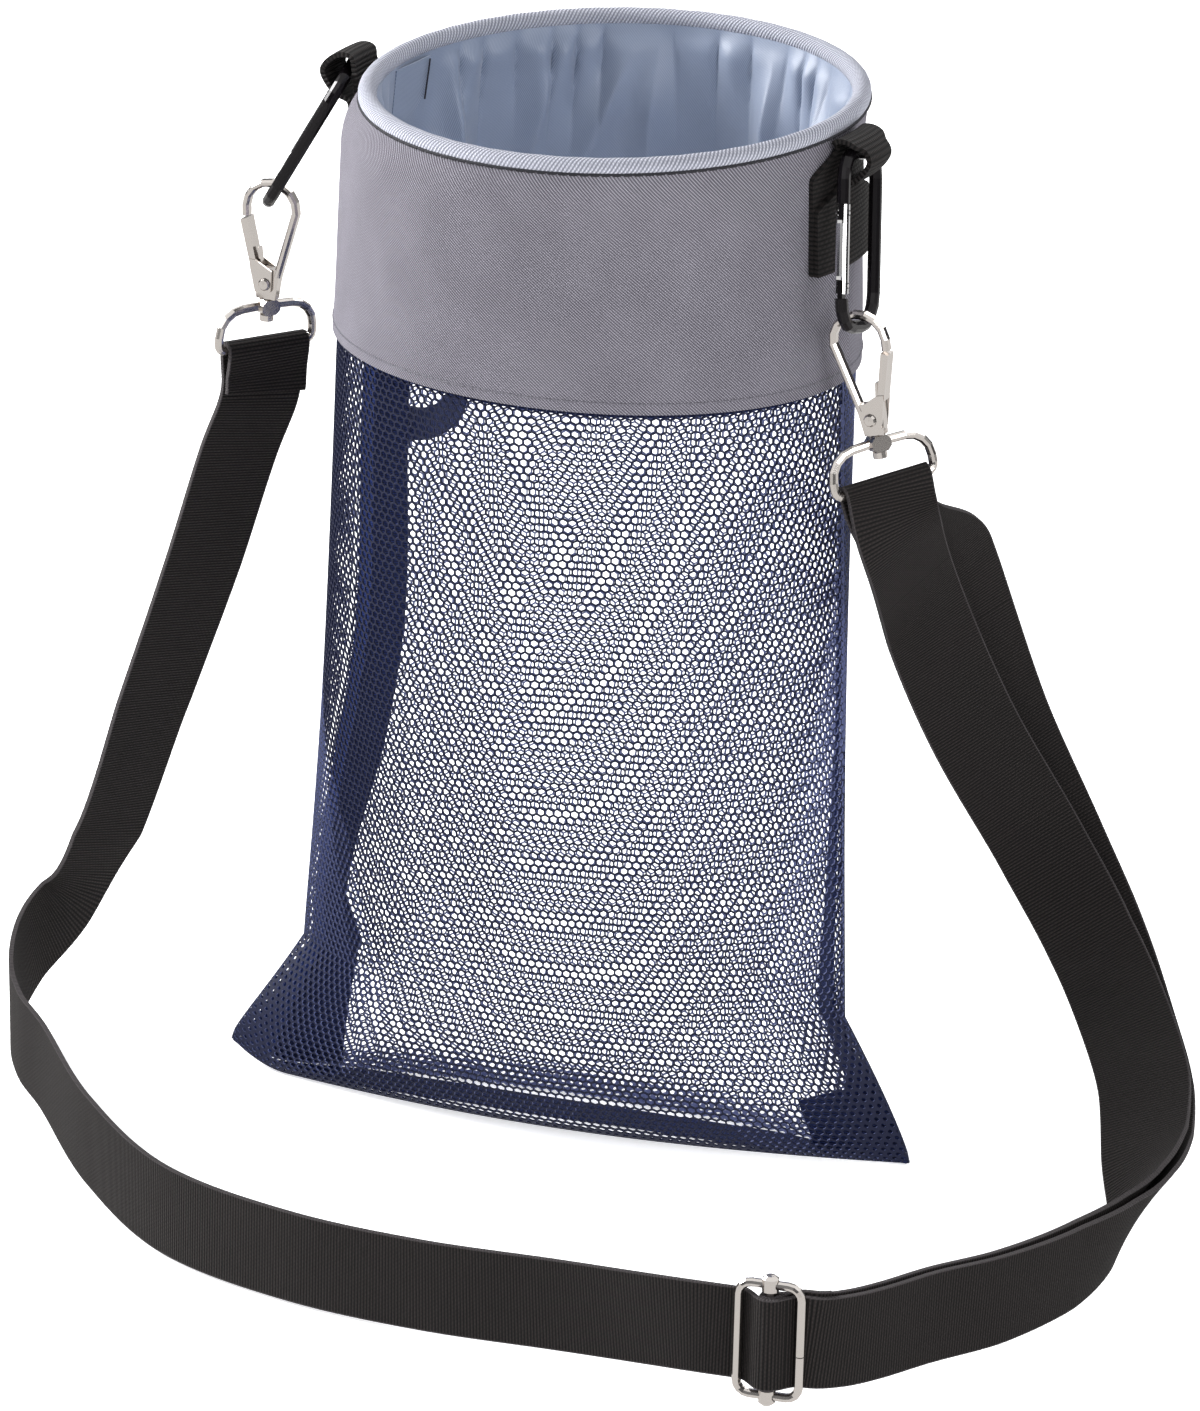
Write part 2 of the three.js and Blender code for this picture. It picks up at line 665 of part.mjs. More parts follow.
function carabinerGate() {
  const half = CARABINER_WIDTH / 2;
  const top = -GATE_TOP_DROP - GAP;
  const foot = -GATE_HINGE_DROP - GATE_RADIUS - GAP;
  const slotWidth = GATE_TANG_THICKNESS + 2 * GAP;
  const slotFoot = -LATCH_DROP - LATCH_PIN_RADIUS - 2 * GAP - 2;
  const slotTop = -GATE_HINGE_DROP + GATE_PIN_RADIUS * 2.5 + 4 * GAP;
  const slot = (low, high) => (
    new THREE.BoxGeometry(slotWidth, 3 * GATE_RADIUS, high - low).translate(0, -half, (low + high) / 2)
  );
  const tube = bar(GATE_RADIUS, top - foot, 'z', 0, -half, (top + foot) / 2, 14);
  return joined([tube], [
    slot(slotFoot, top + 1),
    slot(foot - 1, slotTop),
    bar(GATE_PIN_RADIUS + GAP, 3 * GATE_RADIUS, 'x', 0, -half, -GATE_HINGE_DROP),
    bar(LATCH_PIN_RADIUS + GAP, 3 * GATE_RADIUS, 'x', 0, -half, -LATCH_DROP),
  ]);
}

// Snap hook. Its own origin is the middle of the rod that it hangs on; the gate is towards +X.
const EYE_DROP = HOOK_EYE_RADIUS - HOOK_THICKNESS / 2 - CARABINER_ROD_RADIUS - HOOK_EASE;
const HOOK_NOSE_DROP = EYE_DROP + HOOK_NOSE_LENGTH;
const BLOCK_FOOT = BLOCK_TOP + BLOCK_HEIGHT;
const BOSS_DROP = BLOCK_FOOT + GAP + BOSS_HEIGHT / 2;
const STEM_END = BOSS_DROP + BOSS_HEIGHT / 2 + GAP;

function hookBody() {
  const route = new THREE.Path();
  route.moveTo(HOOK_EYE_RADIUS - 0.2, -HOOK_NOSE_DROP);
  route.lineTo(HOOK_EYE_RADIUS, -EYE_DROP);
  route.absarc(0, -EYE_DROP, HOOK_EYE_RADIUS, 0, Math.PI, false);
  route.lineTo(-BLOCK_TOP_HALF_WIDTH + HOOK_THICKNESS / 2, -BLOCK_TOP - HOOK_THICKNESS);
  const w = HOOK_DEPTH / 2;
  const t = HOOK_THICKNESS / 2;
  const cut = t * 0.6;
  const corners = [
    [w, t - cut], [w - cut, t], [cut - w, t], [-w, t - cut],
    [-w, cut - t], [cut - w, -t], [w - cut, -t], [w, cut - t],
  ];
  const section = new THREE.Shape(corners.map(([x, y]) => new THREE.Vector2(x, y)));
  const eye = sweptAlong(section, new UprightCurve(route, true));
  const block = plate([
    [-BLOCK_TOP_HALF_WIDTH, -BLOCK_TOP],
    [-BLOCK_FOOT_HALF_WIDTH, -BLOCK_FOOT],
    [BLOCK_FOOT_HALF_WIDTH, -BLOCK_FOOT],
    [BLOCK_TOP_HALF_WIDTH, -BLOCK_TOP],
  ], BLOCK_DEPTH, ACROSS_Y);
  const stem = bar(STEM_RADIUS, STEM_END - BLOCK_FOOT + 2, 'z', 0, 0, -(STEM_END + BLOCK_FOOT) / 2);
  const rivetedEnd = bar(STEM_RADIUS + 0.8, 2, 'z', 0, 0, -STEM_END - 1);
  const rivetHole = bar(RIVET_RADIUS + GAP, 2 * BLOCK_DEPTH, 'y', 0, 0, -RIVET_DROP);
  return joined([eye, block, stem, rivetedEnd], [rivetHole]);
}

// Stamped gate: a lever between two cheeks that straddle the block. Its top slopes, so that it
// turns clear of the nose.
function hookGate() {
  const cheekIn = BLOCK_DEPTH / 2 + GAP + 0.1;
  const leverFoot = -BLOCK_TOP + 2 * GAP;
  const leverTop = -HOOK_NOSE_DROP - GAP;
  const inner = HOOK_EYE_RADIUS - 0.2 - HOOK_THICKNESS / 2;
  const outer = inner + HOOK_THICKNESS;
  const arm = RIVET_DROP + leverTop;
  const rise = Math.sqrt(arm ** 2 + outer ** 2 - inner ** 2) - arm;
  const lever = plate([
    [BLOCK_TOP_HALF_WIDTH - 1.4, leverFoot],
    [BLOCK_TOP_HALF_WIDTH + 1, leverFoot],
    [outer, leverTop - rise],
    [inner, leverTop],
  ], 2 * cheekIn + CHEEK_THICKNESS, ACROSS_Y);
  const cheekOutline = new THREE.Shape();
  const foot = -RIVET_DROP - 3;
  cheekOutline.moveTo(-2.2, foot + 1.5);
  cheekOutline.quadraticCurveTo(-2.2, foot, -0.7, foot);
  cheekOutline.lineTo(BLOCK_FOOT_HALF_WIDTH, foot);
  cheekOutline.lineTo(BLOCK_TOP_HALF_WIDTH + 1, leverFoot);
  cheekOutline.lineTo(BLOCK_TOP_HALF_WIDTH + 1.2, leverFoot + 2);
  cheekOutline.lineTo(BLOCK_TOP_HALF_WIDTH - 1, leverFoot + 2);
  cheekOutline.lineTo(-2.2, leverFoot - 1);
  const cheek = (face) => plate(cheekOutline, CHEEK_THICKNESS, ACROSS_Y)
    .translate(0, face * (cheekIn + CHEEK_THICKNESS / 2), 0);
  const rivetHole = bar(RIVET_RADIUS + GAP, 4 * BLOCK_DEPTH, 'y', 0, 0, -RIVET_DROP);
  return joined([lever, cheek(1), cheek(-1)], [rivetHole]);
}

// Domed rivet with a flat tail head, turned about Y
function hookRivet() {
  const reach = BLOCK_DEPTH / 2 + GAP + 0.1 + CHEEK_THICKNESS + GAP;
  const profile = [
    [0, -reach - RIVET_HEAD_HEIGHT],
    [RIVET_HEAD_RADIUS * 0.75, -reach - RIVET_HEAD_HEIGHT * 0.8],
    [RIVET_HEAD_RADIUS, -reach],
    [RIVET_RADIUS, -reach],
    [RIVET_RADIUS, reach],
    [RIVET_HEAD_RADIUS, reach],
    [RIVET_HEAD_RADIUS * 0.75, reach + RIVET_HEAD_HEIGHT * 0.8],
    [0, reach + RIVET_HEAD_HEIGHT],
  ];
  const geometry = new THREE.LatheGeometry(profile.map(([x, y]) => new THREE.Vector2(x, y)), ROD_SIDES);
  return geometry.translate(0, 0, -RIVET_DROP);
}

// Leaf spring that stands inside the gate
function hookSpring() {
  const foot = -BLOCK_TOP + 2 * GAP;
  const root = BLOCK_TOP_HALF_WIDTH - 1.4 - GAP;
  const slope = (HOOK_EYE_RADIUS - BLOCK_TOP_HALF_WIDTH) / (BLOCK_TOP - HOOK_NOSE_DROP) - 0.1;
  return plate([
    [root - SPRING_THICKNESS, foot],
    [root, foot],
    [root + slope * SPRING_RISE, foot + SPRING_RISE],
    [root + slope * SPRING_RISE - SPRING_THICKNESS, foot + SPRING_RISE],
  ], BLOCK_DEPTH - 1, ACROSS_Y);
}

// D-ring with the boss that the stem passes through. Its own origin is the middle of the boss.
function dRing() {
  const half = D_INNER_WIDTH / 2 + D_WIRE_RADIUS;
  const start = BOSS_WIDTH / 2 - 1.2;
  const route = roundedPath([
    [start, 0.3],
    [half, -0.3, 8.5],
    [half, -D_DROP, 2.6],
    [-half, -D_DROP, 2.6],
    [-half, -0.3, 8.5],
    [-start, 0.3],
  ]);
  const ring = wire(new UprightCurve(route, true), D_WIRE_RADIUS);
  const corner = 1.4;
  const x = BOSS_WIDTH / 2;
  const z = BOSS_HEIGHT / 2;
  const outline = [
    [x, z - corner], [x - corner, z], [corner - x, z], [-x, z - corner],
    [-x, corner - z], [corner - x, -z], [x - corner, -z], [x, corner - z],
  ];
  const boss = plate(outline, BOSS_DEPTH, ACROSS_Y);
  return joined([ring, boss], [bar(STEM_RADIUS + GAP, 2 * BOSS_HEIGHT, 'z', 0, 0, 0, 12)]);
}

// One clip: carabiner, snap hook and D-ring, hung at rest. The left clip is the right one
// turned half round the bag, so its spine is at the front. A twist turns it about its own length.
function addClip(side) {
  const pose = CLIP_POSES[side];
  const clip = new THREE.Group();
  clip.rotation.z = side === 'left' ? Math.PI : 0;
  part.add(clip);

  const [collarLength] = collarHalves(CARABINER_PIVOT_Z, 0);
  const carabiner = new THREE.Group();
  carabiner.position.set(collarLength + CARABINER_PIVOT_OUT, -LOOP_SIDE_OFFSET, CARABINER_PIVOT_Z);
  const lean = new THREE.Quaternion().setFromAxisAngle(new THREE.Vector3(0, 1, 0), -rad(pose.lean));
  const tilt = new THREE.Quaternion().setFromAxisAngle(new THREE.Vector3(1, 0, 0), -rad(pose.tilt));
  const twist = new THREE.Quaternion().setFromAxisAngle(UP, rad(pose.twist));
  carabiner.quaternion.multiplyQuaternions(lean, tilt).multiply(twist);
  clip.add(carabiner);
  const half = CARABINER_WIDTH / 2;
  const pinLength = 2 * GATE_RADIUS;
  addMesh(carabiner, `carabiner_body_${side}`, carabinerBody(), 'anodised');
  addMesh(carabiner, `carabiner_gate_${side}`, carabinerGate(), 'bright');
  const gatePin = bar(GATE_PIN_RADIUS, pinLength, 'x', 0, -half, -GATE_HINGE_DROP);
  addMesh(carabiner, `carabiner_gate_pin_${side}`, gatePin, 'bright');
  const latchPin = bar(LATCH_PIN_RADIUS, pinLength, 'x', 0, -half, -LATCH_DROP);
  addMesh(carabiner, `carabiner_latch_pin_${side}`, latchPin, 'bright');

  const foot = new THREE.Vector3(0, 0, -CARABINER_LENGTH).applyQuaternion(carabiner.quaternion);
  const hook = new THREE.Group();
  hook.position.addVectors(carabiner.position, foot);
  hook.rotation.y = -rad(pose.hookLean);
  clip.add(hook);
  addMesh(hook, `snap_hook_body_${side}`, hookBody(), 'nickel');
  addMesh(hook, `snap_hook_gate_${side}`, hookGate(), 'nickel');
  addMesh(hook, `snap_hook_rivet_${side}`, hookRivet(), 'nickel');
  addMesh(hook, `snap_hook_spring_${side}`, hookSpring(), 'nickel');

  const ring = new THREE.Group();
  ring.position.z = -BOSS_DROP;
  ring.rotation.z = rad(pose.ringTurn);
  hook.add(ring);
  addMesh(ring, `d_ring_${side}`, dRing(), 'nickel');
  clip.updateMatrixWorld(true);
  const down = new THREE.Vector3(0, 0, -1).transformDirection(ring.matrixWorld);
  const face = new THREE.Vector3(1, 0, 0).transformDirection(ring.matrixWorld).cross(down);
  return {
    bar: ring.localToWorld(new THREE.Vector3(0, 0, -D_DROP)),
    down,
    face: face.multiplyScalar(-Math.sign(face.y)),
  };
}

// Strap. The route runs from the left D-ring down to the floor, round the front and up to the
// right D-ring. Each row is a place on the route and the direction that the inner face looks in.
const KNOB_REACH = STRAP_WIDTH / 2 + SLIDER_END_ROOM + SLIDER_WIRE_RADIUS + GAP + 1.5;
const FLOOR_Z = STRAP_WIDTH / 2 + GAP;
const SLIDER_Z = KNOB_REACH + GAP;
const LAYER = STRAP_THICKNESS + GAP;
const SLIDER_PLACE = new THREE.Vector3(143, -181, SLIDER_Z);
const SLIDER_TURN = rad(7);
const ALONG_SLIDER = new THREE.Vector3(Math.cos(SLIDER_TURN), Math.sin(SLIDER_TURN), 0);

const left = addClip('left');
const right = addClip('right');

function onSlider(distance) {
  return SLIDER_PLACE.clone().addScaledVector(ALONG_SLIDER, distance).toArray();
}

function below(end, distance) {
  return end.bar.clone().addScaledVector(end.down, distance).toArray();
}

const leftFace = left.face.toArray();
const rightFace = right.face.toArray();
const sliderFace = [-Math.sin(SLIDER_TURN), Math.cos(SLIDER_TURN), 0];
const LEFT_CUT_PLACE = [-157, -76, FLOOR_Z];
const RIGHT_CUT_PLACE = [203, -30, FLOOR_Z + 0.2];

const STRAP_ROUTE = [
  [left.bar.toArray(), leftFace],
  [below(left, 13), leftFace],
  [[-131, 6.5, 206], [0.84, -0.53, 0.1]],
  [[-143.5, 9, 163], [0.85, -0.5, 0.2]],
  [[-160.3, 12, 112], [0.87, -0.43, 0.25]],
  [[-178, 13.5, 61], [0.92, -0.33, 0.25]],
  [[-189.5, 9, 38], [0.97, -0.1, 0.2]],
  [[-195, -8, 26], [1, 0.1, 0.1]],
  [[-189, -34, 18.5], [0.96, 0.28, 0]],
  [[-175.5, -56, 15.8], [0.87, 0.5, 0]],
  [LEFT_CUT_PLACE, [0.8, 0.6, 0]],
  [[-116, -124.7, FLOOR_Z], [0.68, 0.73, 0]],
  [[-69, -164, FLOOR_Z], [0.42, 0.91, 0]],
  [[-20, -178.5, FLOOR_Z], [0.15, 0.99, 0]],
  [[25, -181, FLOOR_Z + 0.4], [0, 1, 0]],
  [[72, -180, FLOOR_Z + 2.5], [-0.02, 1, 0]],
  [onSlider(-SLIDER_LEAD), sliderFace],
  [onSlider(-12), sliderFace],
  [onSlider(0), sliderFace],
  [onSlider(8), sliderFace],
  [onSlider(11), [-0.25, 0.97, 0]],
  [[158, -177.3, SLIDER_Z - 0.5], [-0.52, 0.85, 0]],
  [[164.5, -169, SLIDER_Z - 1.5], [-0.82, 0.57, 0]],
  [[170.5, -157.5, SLIDER_Z - 2.4], [-0.88, 0.47, 0]],
  [[179, -138, FLOOR_Z + 3.2], [-0.93, 0.37, 0]],
  [[189, -106, FLOOR_Z + 1.8], [-0.96, 0.27, 0]],
  [[197.5, -70, FLOOR_Z + 0.6], [-0.985, 0.17, 0]],
  [RIGHT_CUT_PLACE, [-1, -0.02, 0]],
  [[203, 8, 17.5], [-0.95, -0.3, 0.1]],
  [[195, 35, 24], [-0.78, -0.6, 0.2]],
  [[180, 55, 38], [-0.4, -0.85, 0.35]],
  [[160, 62, 60.5], [-0.1, -0.88, 0.45]],
  [[138, 56, 95.5], [0.2, -0.86, 0.42]],
  [[117, 40, 140.5], [0.48, -0.82, 0.3]],
  [[106, 18, 185], [0.68, -0.71, 0.12]],
  [below(right, 14), rightFace],
  [right.bar.toArray(), rightFace],
];

const routeCurve = new THREE.CatmullRomCurve3(STRAP_ROUTE.map(([place]) => new THREE.Vector3(...place)));
routeCurve.arcLengthDivisions = 800;
const ROUTE_LENGTH = routeCurve.getLength();

// Place, direction and faces of the webbing at a distance along the route
function strapFrame(distance) {
  const u = THREE.MathUtils.clamp(distance / ROUTE_LENGTH, 0, 1);
  const t = routeCurve.getUtoTmapping(u);
  const place = routeCurve.getPoint(t);
  const along = routeCurve.getTangent(t);
  const step = t * (STRAP_ROUTE.length - 1);
  const row = Math.min(Math.floor(step), STRAP_ROUTE.length - 2);
  const before = new THREE.Vector3(...STRAP_ROUTE[row][1]);
  const after = new THREE.Vector3(...STRAP_ROUTE[row + 1][1]);
  const face = before.lerp(after, step - row);
  face.addScaledVector(along, -face.dot(along)).normalize();
  const across = new THREE.Vector3().crossVectors(face, along).normalize();
  return { place, face, across };
}

// Distance along the route of the point nearest to a place
function distanceAt(place) {
  let best = 0;
  let least = Infinity;
  const steps = 1200;
  for (let i = 0; i <= steps; i++) {
    const gap = strapFrame((ROUTE_LENGTH * i) / steps).place.distanceToSquared(place);
    if (gap < least) {
      least = gap;
      best = (ROUTE_LENGTH * i) / steps;
    }
  }
  return best;
}

const SLIDER_AT = distanceAt(SLIDER_PLACE);
const LEFT_CUT = distanceAt(new THREE.Vector3(...LEFT_CUT_PLACE));
const RIGHT_CUT = distanceAt(new THREE.Vector3(...RIGHT_CUT_PLACE));

// Stand-off of a layer from the middle of a D-ring's bar, and from the slider's bar
const RING_WRAP = D_WIRE_RADIUS + GAP + STRAP_THICKNESS / 2;
const BAR_WRAP = BAR_RADIUS + GAP + STRAP_THICKNESS / 2;
const FRAME_OFFSET = SLIDER_WIRE_RADIUS + GAP + STRAP_THICKNESS / 2;
const HUMP_HEIGHT = FRAME_OFFSET + BAR_WRAP + LAYER;
const SLIDER_HALF = SLIDER_INNER_WIDTH / 2 + SLIDER_WIRE_RADIUS;

function hump(distance) {
  const u = Math.abs(distance - SLIDER_AT) / SLIDER_HALF;
  return u < 1 ? -HUMP_HEIGHT * Math.cos((Math.PI / 2) * u) ** 2 : 0;
}

function ease(distance, length) {
  return THREE.MathUtils.smoothstep(length - distance, 0, length);
}

// Long run: leaves the far side of each D-ring's bar and rises over the slider's bar
function runOffset(distance) {
  const fromRight = ROUTE_LENGTH - distance;
  return hump(distance) - RING_WRAP * (ease(distance, RING_EASE) + ease(fromRight, RING_EASE));
}

// Share of the way up the right riser
function riserShare(distance) {
  return THREE.MathUtils.clamp((distance - RIGHT_CUT) / (ROUTE_LENGTH - RIGHT_CUT), 0, 1);
}

// The long run hangs sideways out from behind the return layer on the riser
function runShift(distance) {
  return -RISER_SHIFT * Math.sin(Math.PI * riserShare(distance) ** RISER_SHIFT_RISE);
}

// Return layer: nearer side of the right D-ring, held off the long run on the riser
function returnOffset(distance) {
  const near = ease(ROUTE_LENGTH - distance, RING_EASE);
  const spread = RISER_SPREAD * Math.sin(Math.PI * riserShare(distance)) ** 2;
  return lerp(2 * LAYER + spread, RING_WRAP, near);
}

// Section of the webbing. A turned one starts on the other face, as it does past a fold.
function strapSection({ place, face, across }, offset, shift = 0, side = 1) {
  const middle = place.clone().addScaledVector(face, offset).addScaledVector(across, shift);
  const half = STRAP_THICKNESS / 2;
  const corners = [[1, half], [-1, half], [-1, -half], [1, -half]];
  return corners.map(([edge, off]) => (
    middle.clone().addScaledVector(across, (edge * STRAP_WIDTH) / 2).addScaledVector(face, side * off)
  ));
}

// Section turned about an upright or level bar: angle 0 looks along the face
function wrapSection(middle, face, along, across, radius, angle) {
  const out = face.clone().multiplyScalar(Math.cos(angle)).addScaledVector(along, Math.sin(angle));
  const place = middle.clone();
  return strapSection({ place, face: out, across }, radius);
}

function stations(from, to, step) {
  const count = Math.max(1, Math.round(Math.abs(to - from) / step));
  return Array.from({ length: count + 1 }, (_, i) => lerp(from, to, i / count));
}

function runSections(distances) {
  return distances.map((d) => strapSection(strapFrame(d), runOffset(d), runShift(d), -1));
}

// Fold over a D-ring's bar, by angle from the near face. The across direction is the route's.
function ringWrap(end, across, from, to) {
  const up = end.down.clone().negate();
  return stations(from, to, Math.PI / 7).map((angle) => (
    wrapSection(end.bar, end.face, up, across, RING_WRAP, angle)
  ));
}

function strapLeft() {
  const stub = stations(STUB_LENGTH, 4, 4.7).map((d) => {
    const off = lerp(RING_WRAP, runOffset(d) + LAYER, THREE.MathUtils.smoothstep(d, 0, STUB_LENGTH));
    return strapSection(strapFrame(d), off);
  });
  const wrap = ringWrap(left, strapFrame(0).across, 0, Math.PI);
  return sweep([...stub, ...wrap, ...runSections(stations(4, LEFT_CUT - GAP / 2, STRAP_STEP))], false);
}

// Stations right of the slider, shared by the two layers so that their facets stay parallel
const BEND_END = SLIDER_AT + STUB_LENGTH + STRAP_STEP;
const RIGHT_STATIONS = [
  ...stations(SLIDER_AT + SLIDER_HALF + 1, BEND_END, STRAP_BEND_STEP),
  ...stations(BEND_END, RIGHT_CUT - GAP / 2, STRAP_STEP).slice(1),
];

function strapFront() {
  const near = SLIDER_HALF + 1;
  return sweep(runSections([
    ...stations(LEFT_CUT + GAP / 2, SLIDER_AT - near, STRAP_STEP),
    ...stations(SLIDER_AT - near, SLIDER_AT + near, STRAP_HUMP_STEP).slice(1),
    ...RIGHT_STATIONS.slice(1),
  ]), false);
}

function returnSections(distances) {
  return distances.map((d) => strapSection(strapFrame(d), returnOffset(d)));
}

function strapRight() {
  return sweep([
    ...runSections(stations(RIGHT_CUT + GAP / 2, ROUTE_LENGTH - 4, STRAP_STEP)),
    ...ringWrap(right, strapFrame(ROUTE_LENGTH).across, Math.PI, 0),
    ...returnSections(stations(ROUTE_LENGTH - 4, RIGHT_CUT + GAP / 2, STRAP_STEP)),
  ], false);
}

// Return layer from the riser to the slider's bar, round the bar, and its sewn stub under the run
function strapReturn() {
  const { face, across } = strapFrame(SLIDER_AT);
  const barMiddle = SLIDER_PLACE.clone().addScaledVector(face, -FRAME_OFFSET);
  const toBar = stations(RIGHT_STATIONS[0], SLIDER_AT + 2, 2).map((d) => {
    const u = (d - SLIDER_AT - 2) / (SLIDER_HALF - 1);
    const off = lerp(BAR_WRAP - FRAME_OFFSET, 2 * LAYER, THREE.MathUtils.smoothstep(u, 0, 1));
    return strapSection(strapFrame(d), off);
  });
  const back = ALONG_SLIDER.clone().negate();
  const wrap = stations(0, Math.PI, Math.PI / 8).map((angle) => (
    wrapSection(barMiddle, face, back, across, BAR_WRAP, angle)
  ));
  const stub = [
    ...stations(SLIDER_AT + 1.4, RIGHT_STATIONS[0], STRAP_HUMP_STEP),
    ...RIGHT_STATIONS.slice(1).filter((d) => d < SLIDER_AT + STUB_LENGTH),
  ].map((d) => {
    const slope = (hump(d + 0.1) - hump(d - 0.1)) / 0.2;
    return strapSection(strapFrame(d - (LAYER * slope) / Math.hypot(1, slope)),
      hump(d) + LAYER / Math.hypot(1, slope), 0, -1);
  });
  const run = returnSections(RIGHT_STATIONS.slice(1).reverse());
  return sweep([...run, ...toBar, ...wrap, ...stub], false);
}

// Slider: wire frame with a butt joint, and a bar whose ends slide on the frame's short sides.
// Its own X runs along the strap and its origin is the middle of the bar.
function sliderFrame() {
  const x = SLIDER_HALF;
  const z = STRAP_WIDTH / 2 + SLIDER_END_ROOM;
  const joint = -4;
  const route = roundedPath([
    [x, joint - GAP / 2],
    [x, -z, SLIDER_CORNER],
    [-x, -z, SLIDER_CORNER],
    [-x, z, SLIDER_CORNER],
    [x, z, SLIDER_CORNER],
    [x, joint + GAP / 2],
  ]);
  return wire(new UprightCurve(route, true), SLIDER_WIRE_RADIUS);
}

function sliderBar() {
  const z = STRAP_WIDTH / 2 + SLIDER_END_ROOM;
  const inner = STRAP_WIDTH / 2 + 2 * GAP;
  const profile = [
    [0, KNOB_REACH], [KNOB_REACH * 0.07, KNOB_REACH - 0.2], [KNOB_RADIUS, KNOB_REACH - 1.2],
    [KNOB_RADIUS, inner + 0.8], [BAR_RADIUS, inner],
  ];
  const points = [
    ...profile.map(([r, h]) => new THREE.Vector2(r, -h)),
    ...profile.slice().reverse().map(([r, h]) => new THREE.Vector2(r, h)),
  ];
  const turnedBar = new THREE.LatheGeometry(points, 12).rotateX(Math.PI / 2);
  const eye = (end) => bar(SLIDER_WIRE_RADIUS + GAP, 4 * KNOB_RADIUS, 'x', 0, 0, end * z);
  return joined([turnedBar], [eye(1), eye(-1)]);
}

addMesh(part, 'mesh_front_panel', netPanel(-1), 'net');
addMesh(part, 'mesh_back_panel', netPanel(1), 'net');
addMesh(part, 'side_seam_left', sideSeam(-1), 'net');
addMesh(part, 'side_seam_right', sideSeam(1), 'net');
addMesh(part, 'bottom_seam_binding', baseTape(), 'net');
addMesh(part, 'collar_outer', collarOuter(), 'grey');
addMesh(part, 'collar_seam_tape', seamTape(), 'net');
addMesh(part, 'collar_lining', lining(), 'satin');
addMesh(part, 'rim_piping', piping(), 'grey');
addMesh(part, 'rim_hoop', hoop(), 'bright');
addMesh(part, 'webbing_loop_left', webbingLoop(-1), 'webbing');
addMesh(part, 'webbing_loop_right', webbingLoop(1), 'webbing');
addMesh(part, 'strap_left', strapLeft(), 'webbing');
addMesh(part, 'strap_front', strapFront(), 'webbing');
addMesh(part, 'strap_right', strapRight(), 'webbing');
addMesh(part, 'strap_return', strapReturn(), 'webbing');

const slider = new THREE.Group();
slider.position.copy(SLIDER_PLACE).addScaledVector(new THREE.Vector3(...sliderFace), -FRAME_OFFSET);
slider.rotation.z = SLIDER_TURN;
part.add(slider);
addMesh(slider, 'slider_frame', sliderFrame(), 'nickel');
addMesh(slider, 'slider_bar', sliderBar(), 'nickel');

export default part;
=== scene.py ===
# %% [markdown]
# # A round net bag with a shoulder strap
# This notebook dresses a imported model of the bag. The metal parts keep the shape that the packed
# model gives them and only get a finish. Cloth, net and webbing are soft, so they are modelled here,
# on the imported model's places, and take over from its plain solids.
#
# Lengths are written in millimetres and turned into metres when a mesh is made. The bag stands on
# the floor at the origin, with x to its right and y to its back.

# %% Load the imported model
import bpy
import json
import math
import numpy as np
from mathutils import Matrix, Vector


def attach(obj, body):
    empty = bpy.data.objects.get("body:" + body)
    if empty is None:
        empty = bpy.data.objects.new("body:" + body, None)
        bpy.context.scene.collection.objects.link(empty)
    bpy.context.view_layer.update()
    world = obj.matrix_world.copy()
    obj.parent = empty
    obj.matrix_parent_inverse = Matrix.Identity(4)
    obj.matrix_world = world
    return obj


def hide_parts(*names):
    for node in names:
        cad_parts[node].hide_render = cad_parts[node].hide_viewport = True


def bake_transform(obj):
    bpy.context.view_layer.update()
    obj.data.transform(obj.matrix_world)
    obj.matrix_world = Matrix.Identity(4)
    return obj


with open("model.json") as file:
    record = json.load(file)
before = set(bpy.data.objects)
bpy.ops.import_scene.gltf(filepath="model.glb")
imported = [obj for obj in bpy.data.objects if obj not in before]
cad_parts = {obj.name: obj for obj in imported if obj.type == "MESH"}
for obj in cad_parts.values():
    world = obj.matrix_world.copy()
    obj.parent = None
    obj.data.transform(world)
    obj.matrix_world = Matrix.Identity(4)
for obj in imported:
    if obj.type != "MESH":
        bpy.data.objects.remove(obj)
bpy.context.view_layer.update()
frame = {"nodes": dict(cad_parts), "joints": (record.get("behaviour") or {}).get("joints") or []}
nodes = frame["nodes"]
MM = 0.001
SIDES = ("left", "right")

# %% [markdown]
# ## Camera
# The camera stands where the photo was taken from: 23 degrees round to the right, 20 degrees up, and
# turned by a degree and a half. The real distance isn't known, so it is set three metres away with a
# long lens. The bag could be brought to its place in the picture by turning the camera, but a lens
# shift does it without changing the view of the bag.

# %% Camera
AZIMUTH, ELEVATION, ROLL = 23.0, 20.0, 1.5
PICTURE_WIDTH_PX, SHIFT_RIGHT_PX, SHIFT_UP_PX = 1200, 11.0, -82.4
SENSOR_WIDE, LENS, FAR_CLIP = 36.0, 280.7, 20.0
TARGET, DISTANCE = Vector((0, 0, 0.17)), 3.0
around, up = math.radians(AZIMUTH), math.radians(ELEVATION)
away = Vector((math.sin(around) * math.cos(up), -math.cos(around) * math.cos(up), math.sin(up)))
bpy.ops.object.select_all(action="DESELECT")
bpy.ops.object.camera_add(location=TARGET + away * DISTANCE)
camera = bpy.context.object
camera.name = "photo_camera"
turn = away.to_track_quat("Z", "Y").to_matrix()
camera.rotation_euler = (turn @ turn.Rotation(math.radians(ROLL), 3, "Z")).to_euler()
camera.data.sensor_fit = "HORIZONTAL"
camera.data.sensor_width = SENSOR_WIDE
camera.data.lens = LENS
camera.data.shift_x = SHIFT_RIGHT_PX / PICTURE_WIDTH_PX
camera.data.shift_y = SHIFT_UP_PX / PICTURE_WIDTH_PX
camera.data.clip_end = FAR_CLIP
bpy.context.scene.camera = camera
bpy.context.scene.view_settings.view_transform = "Standard"
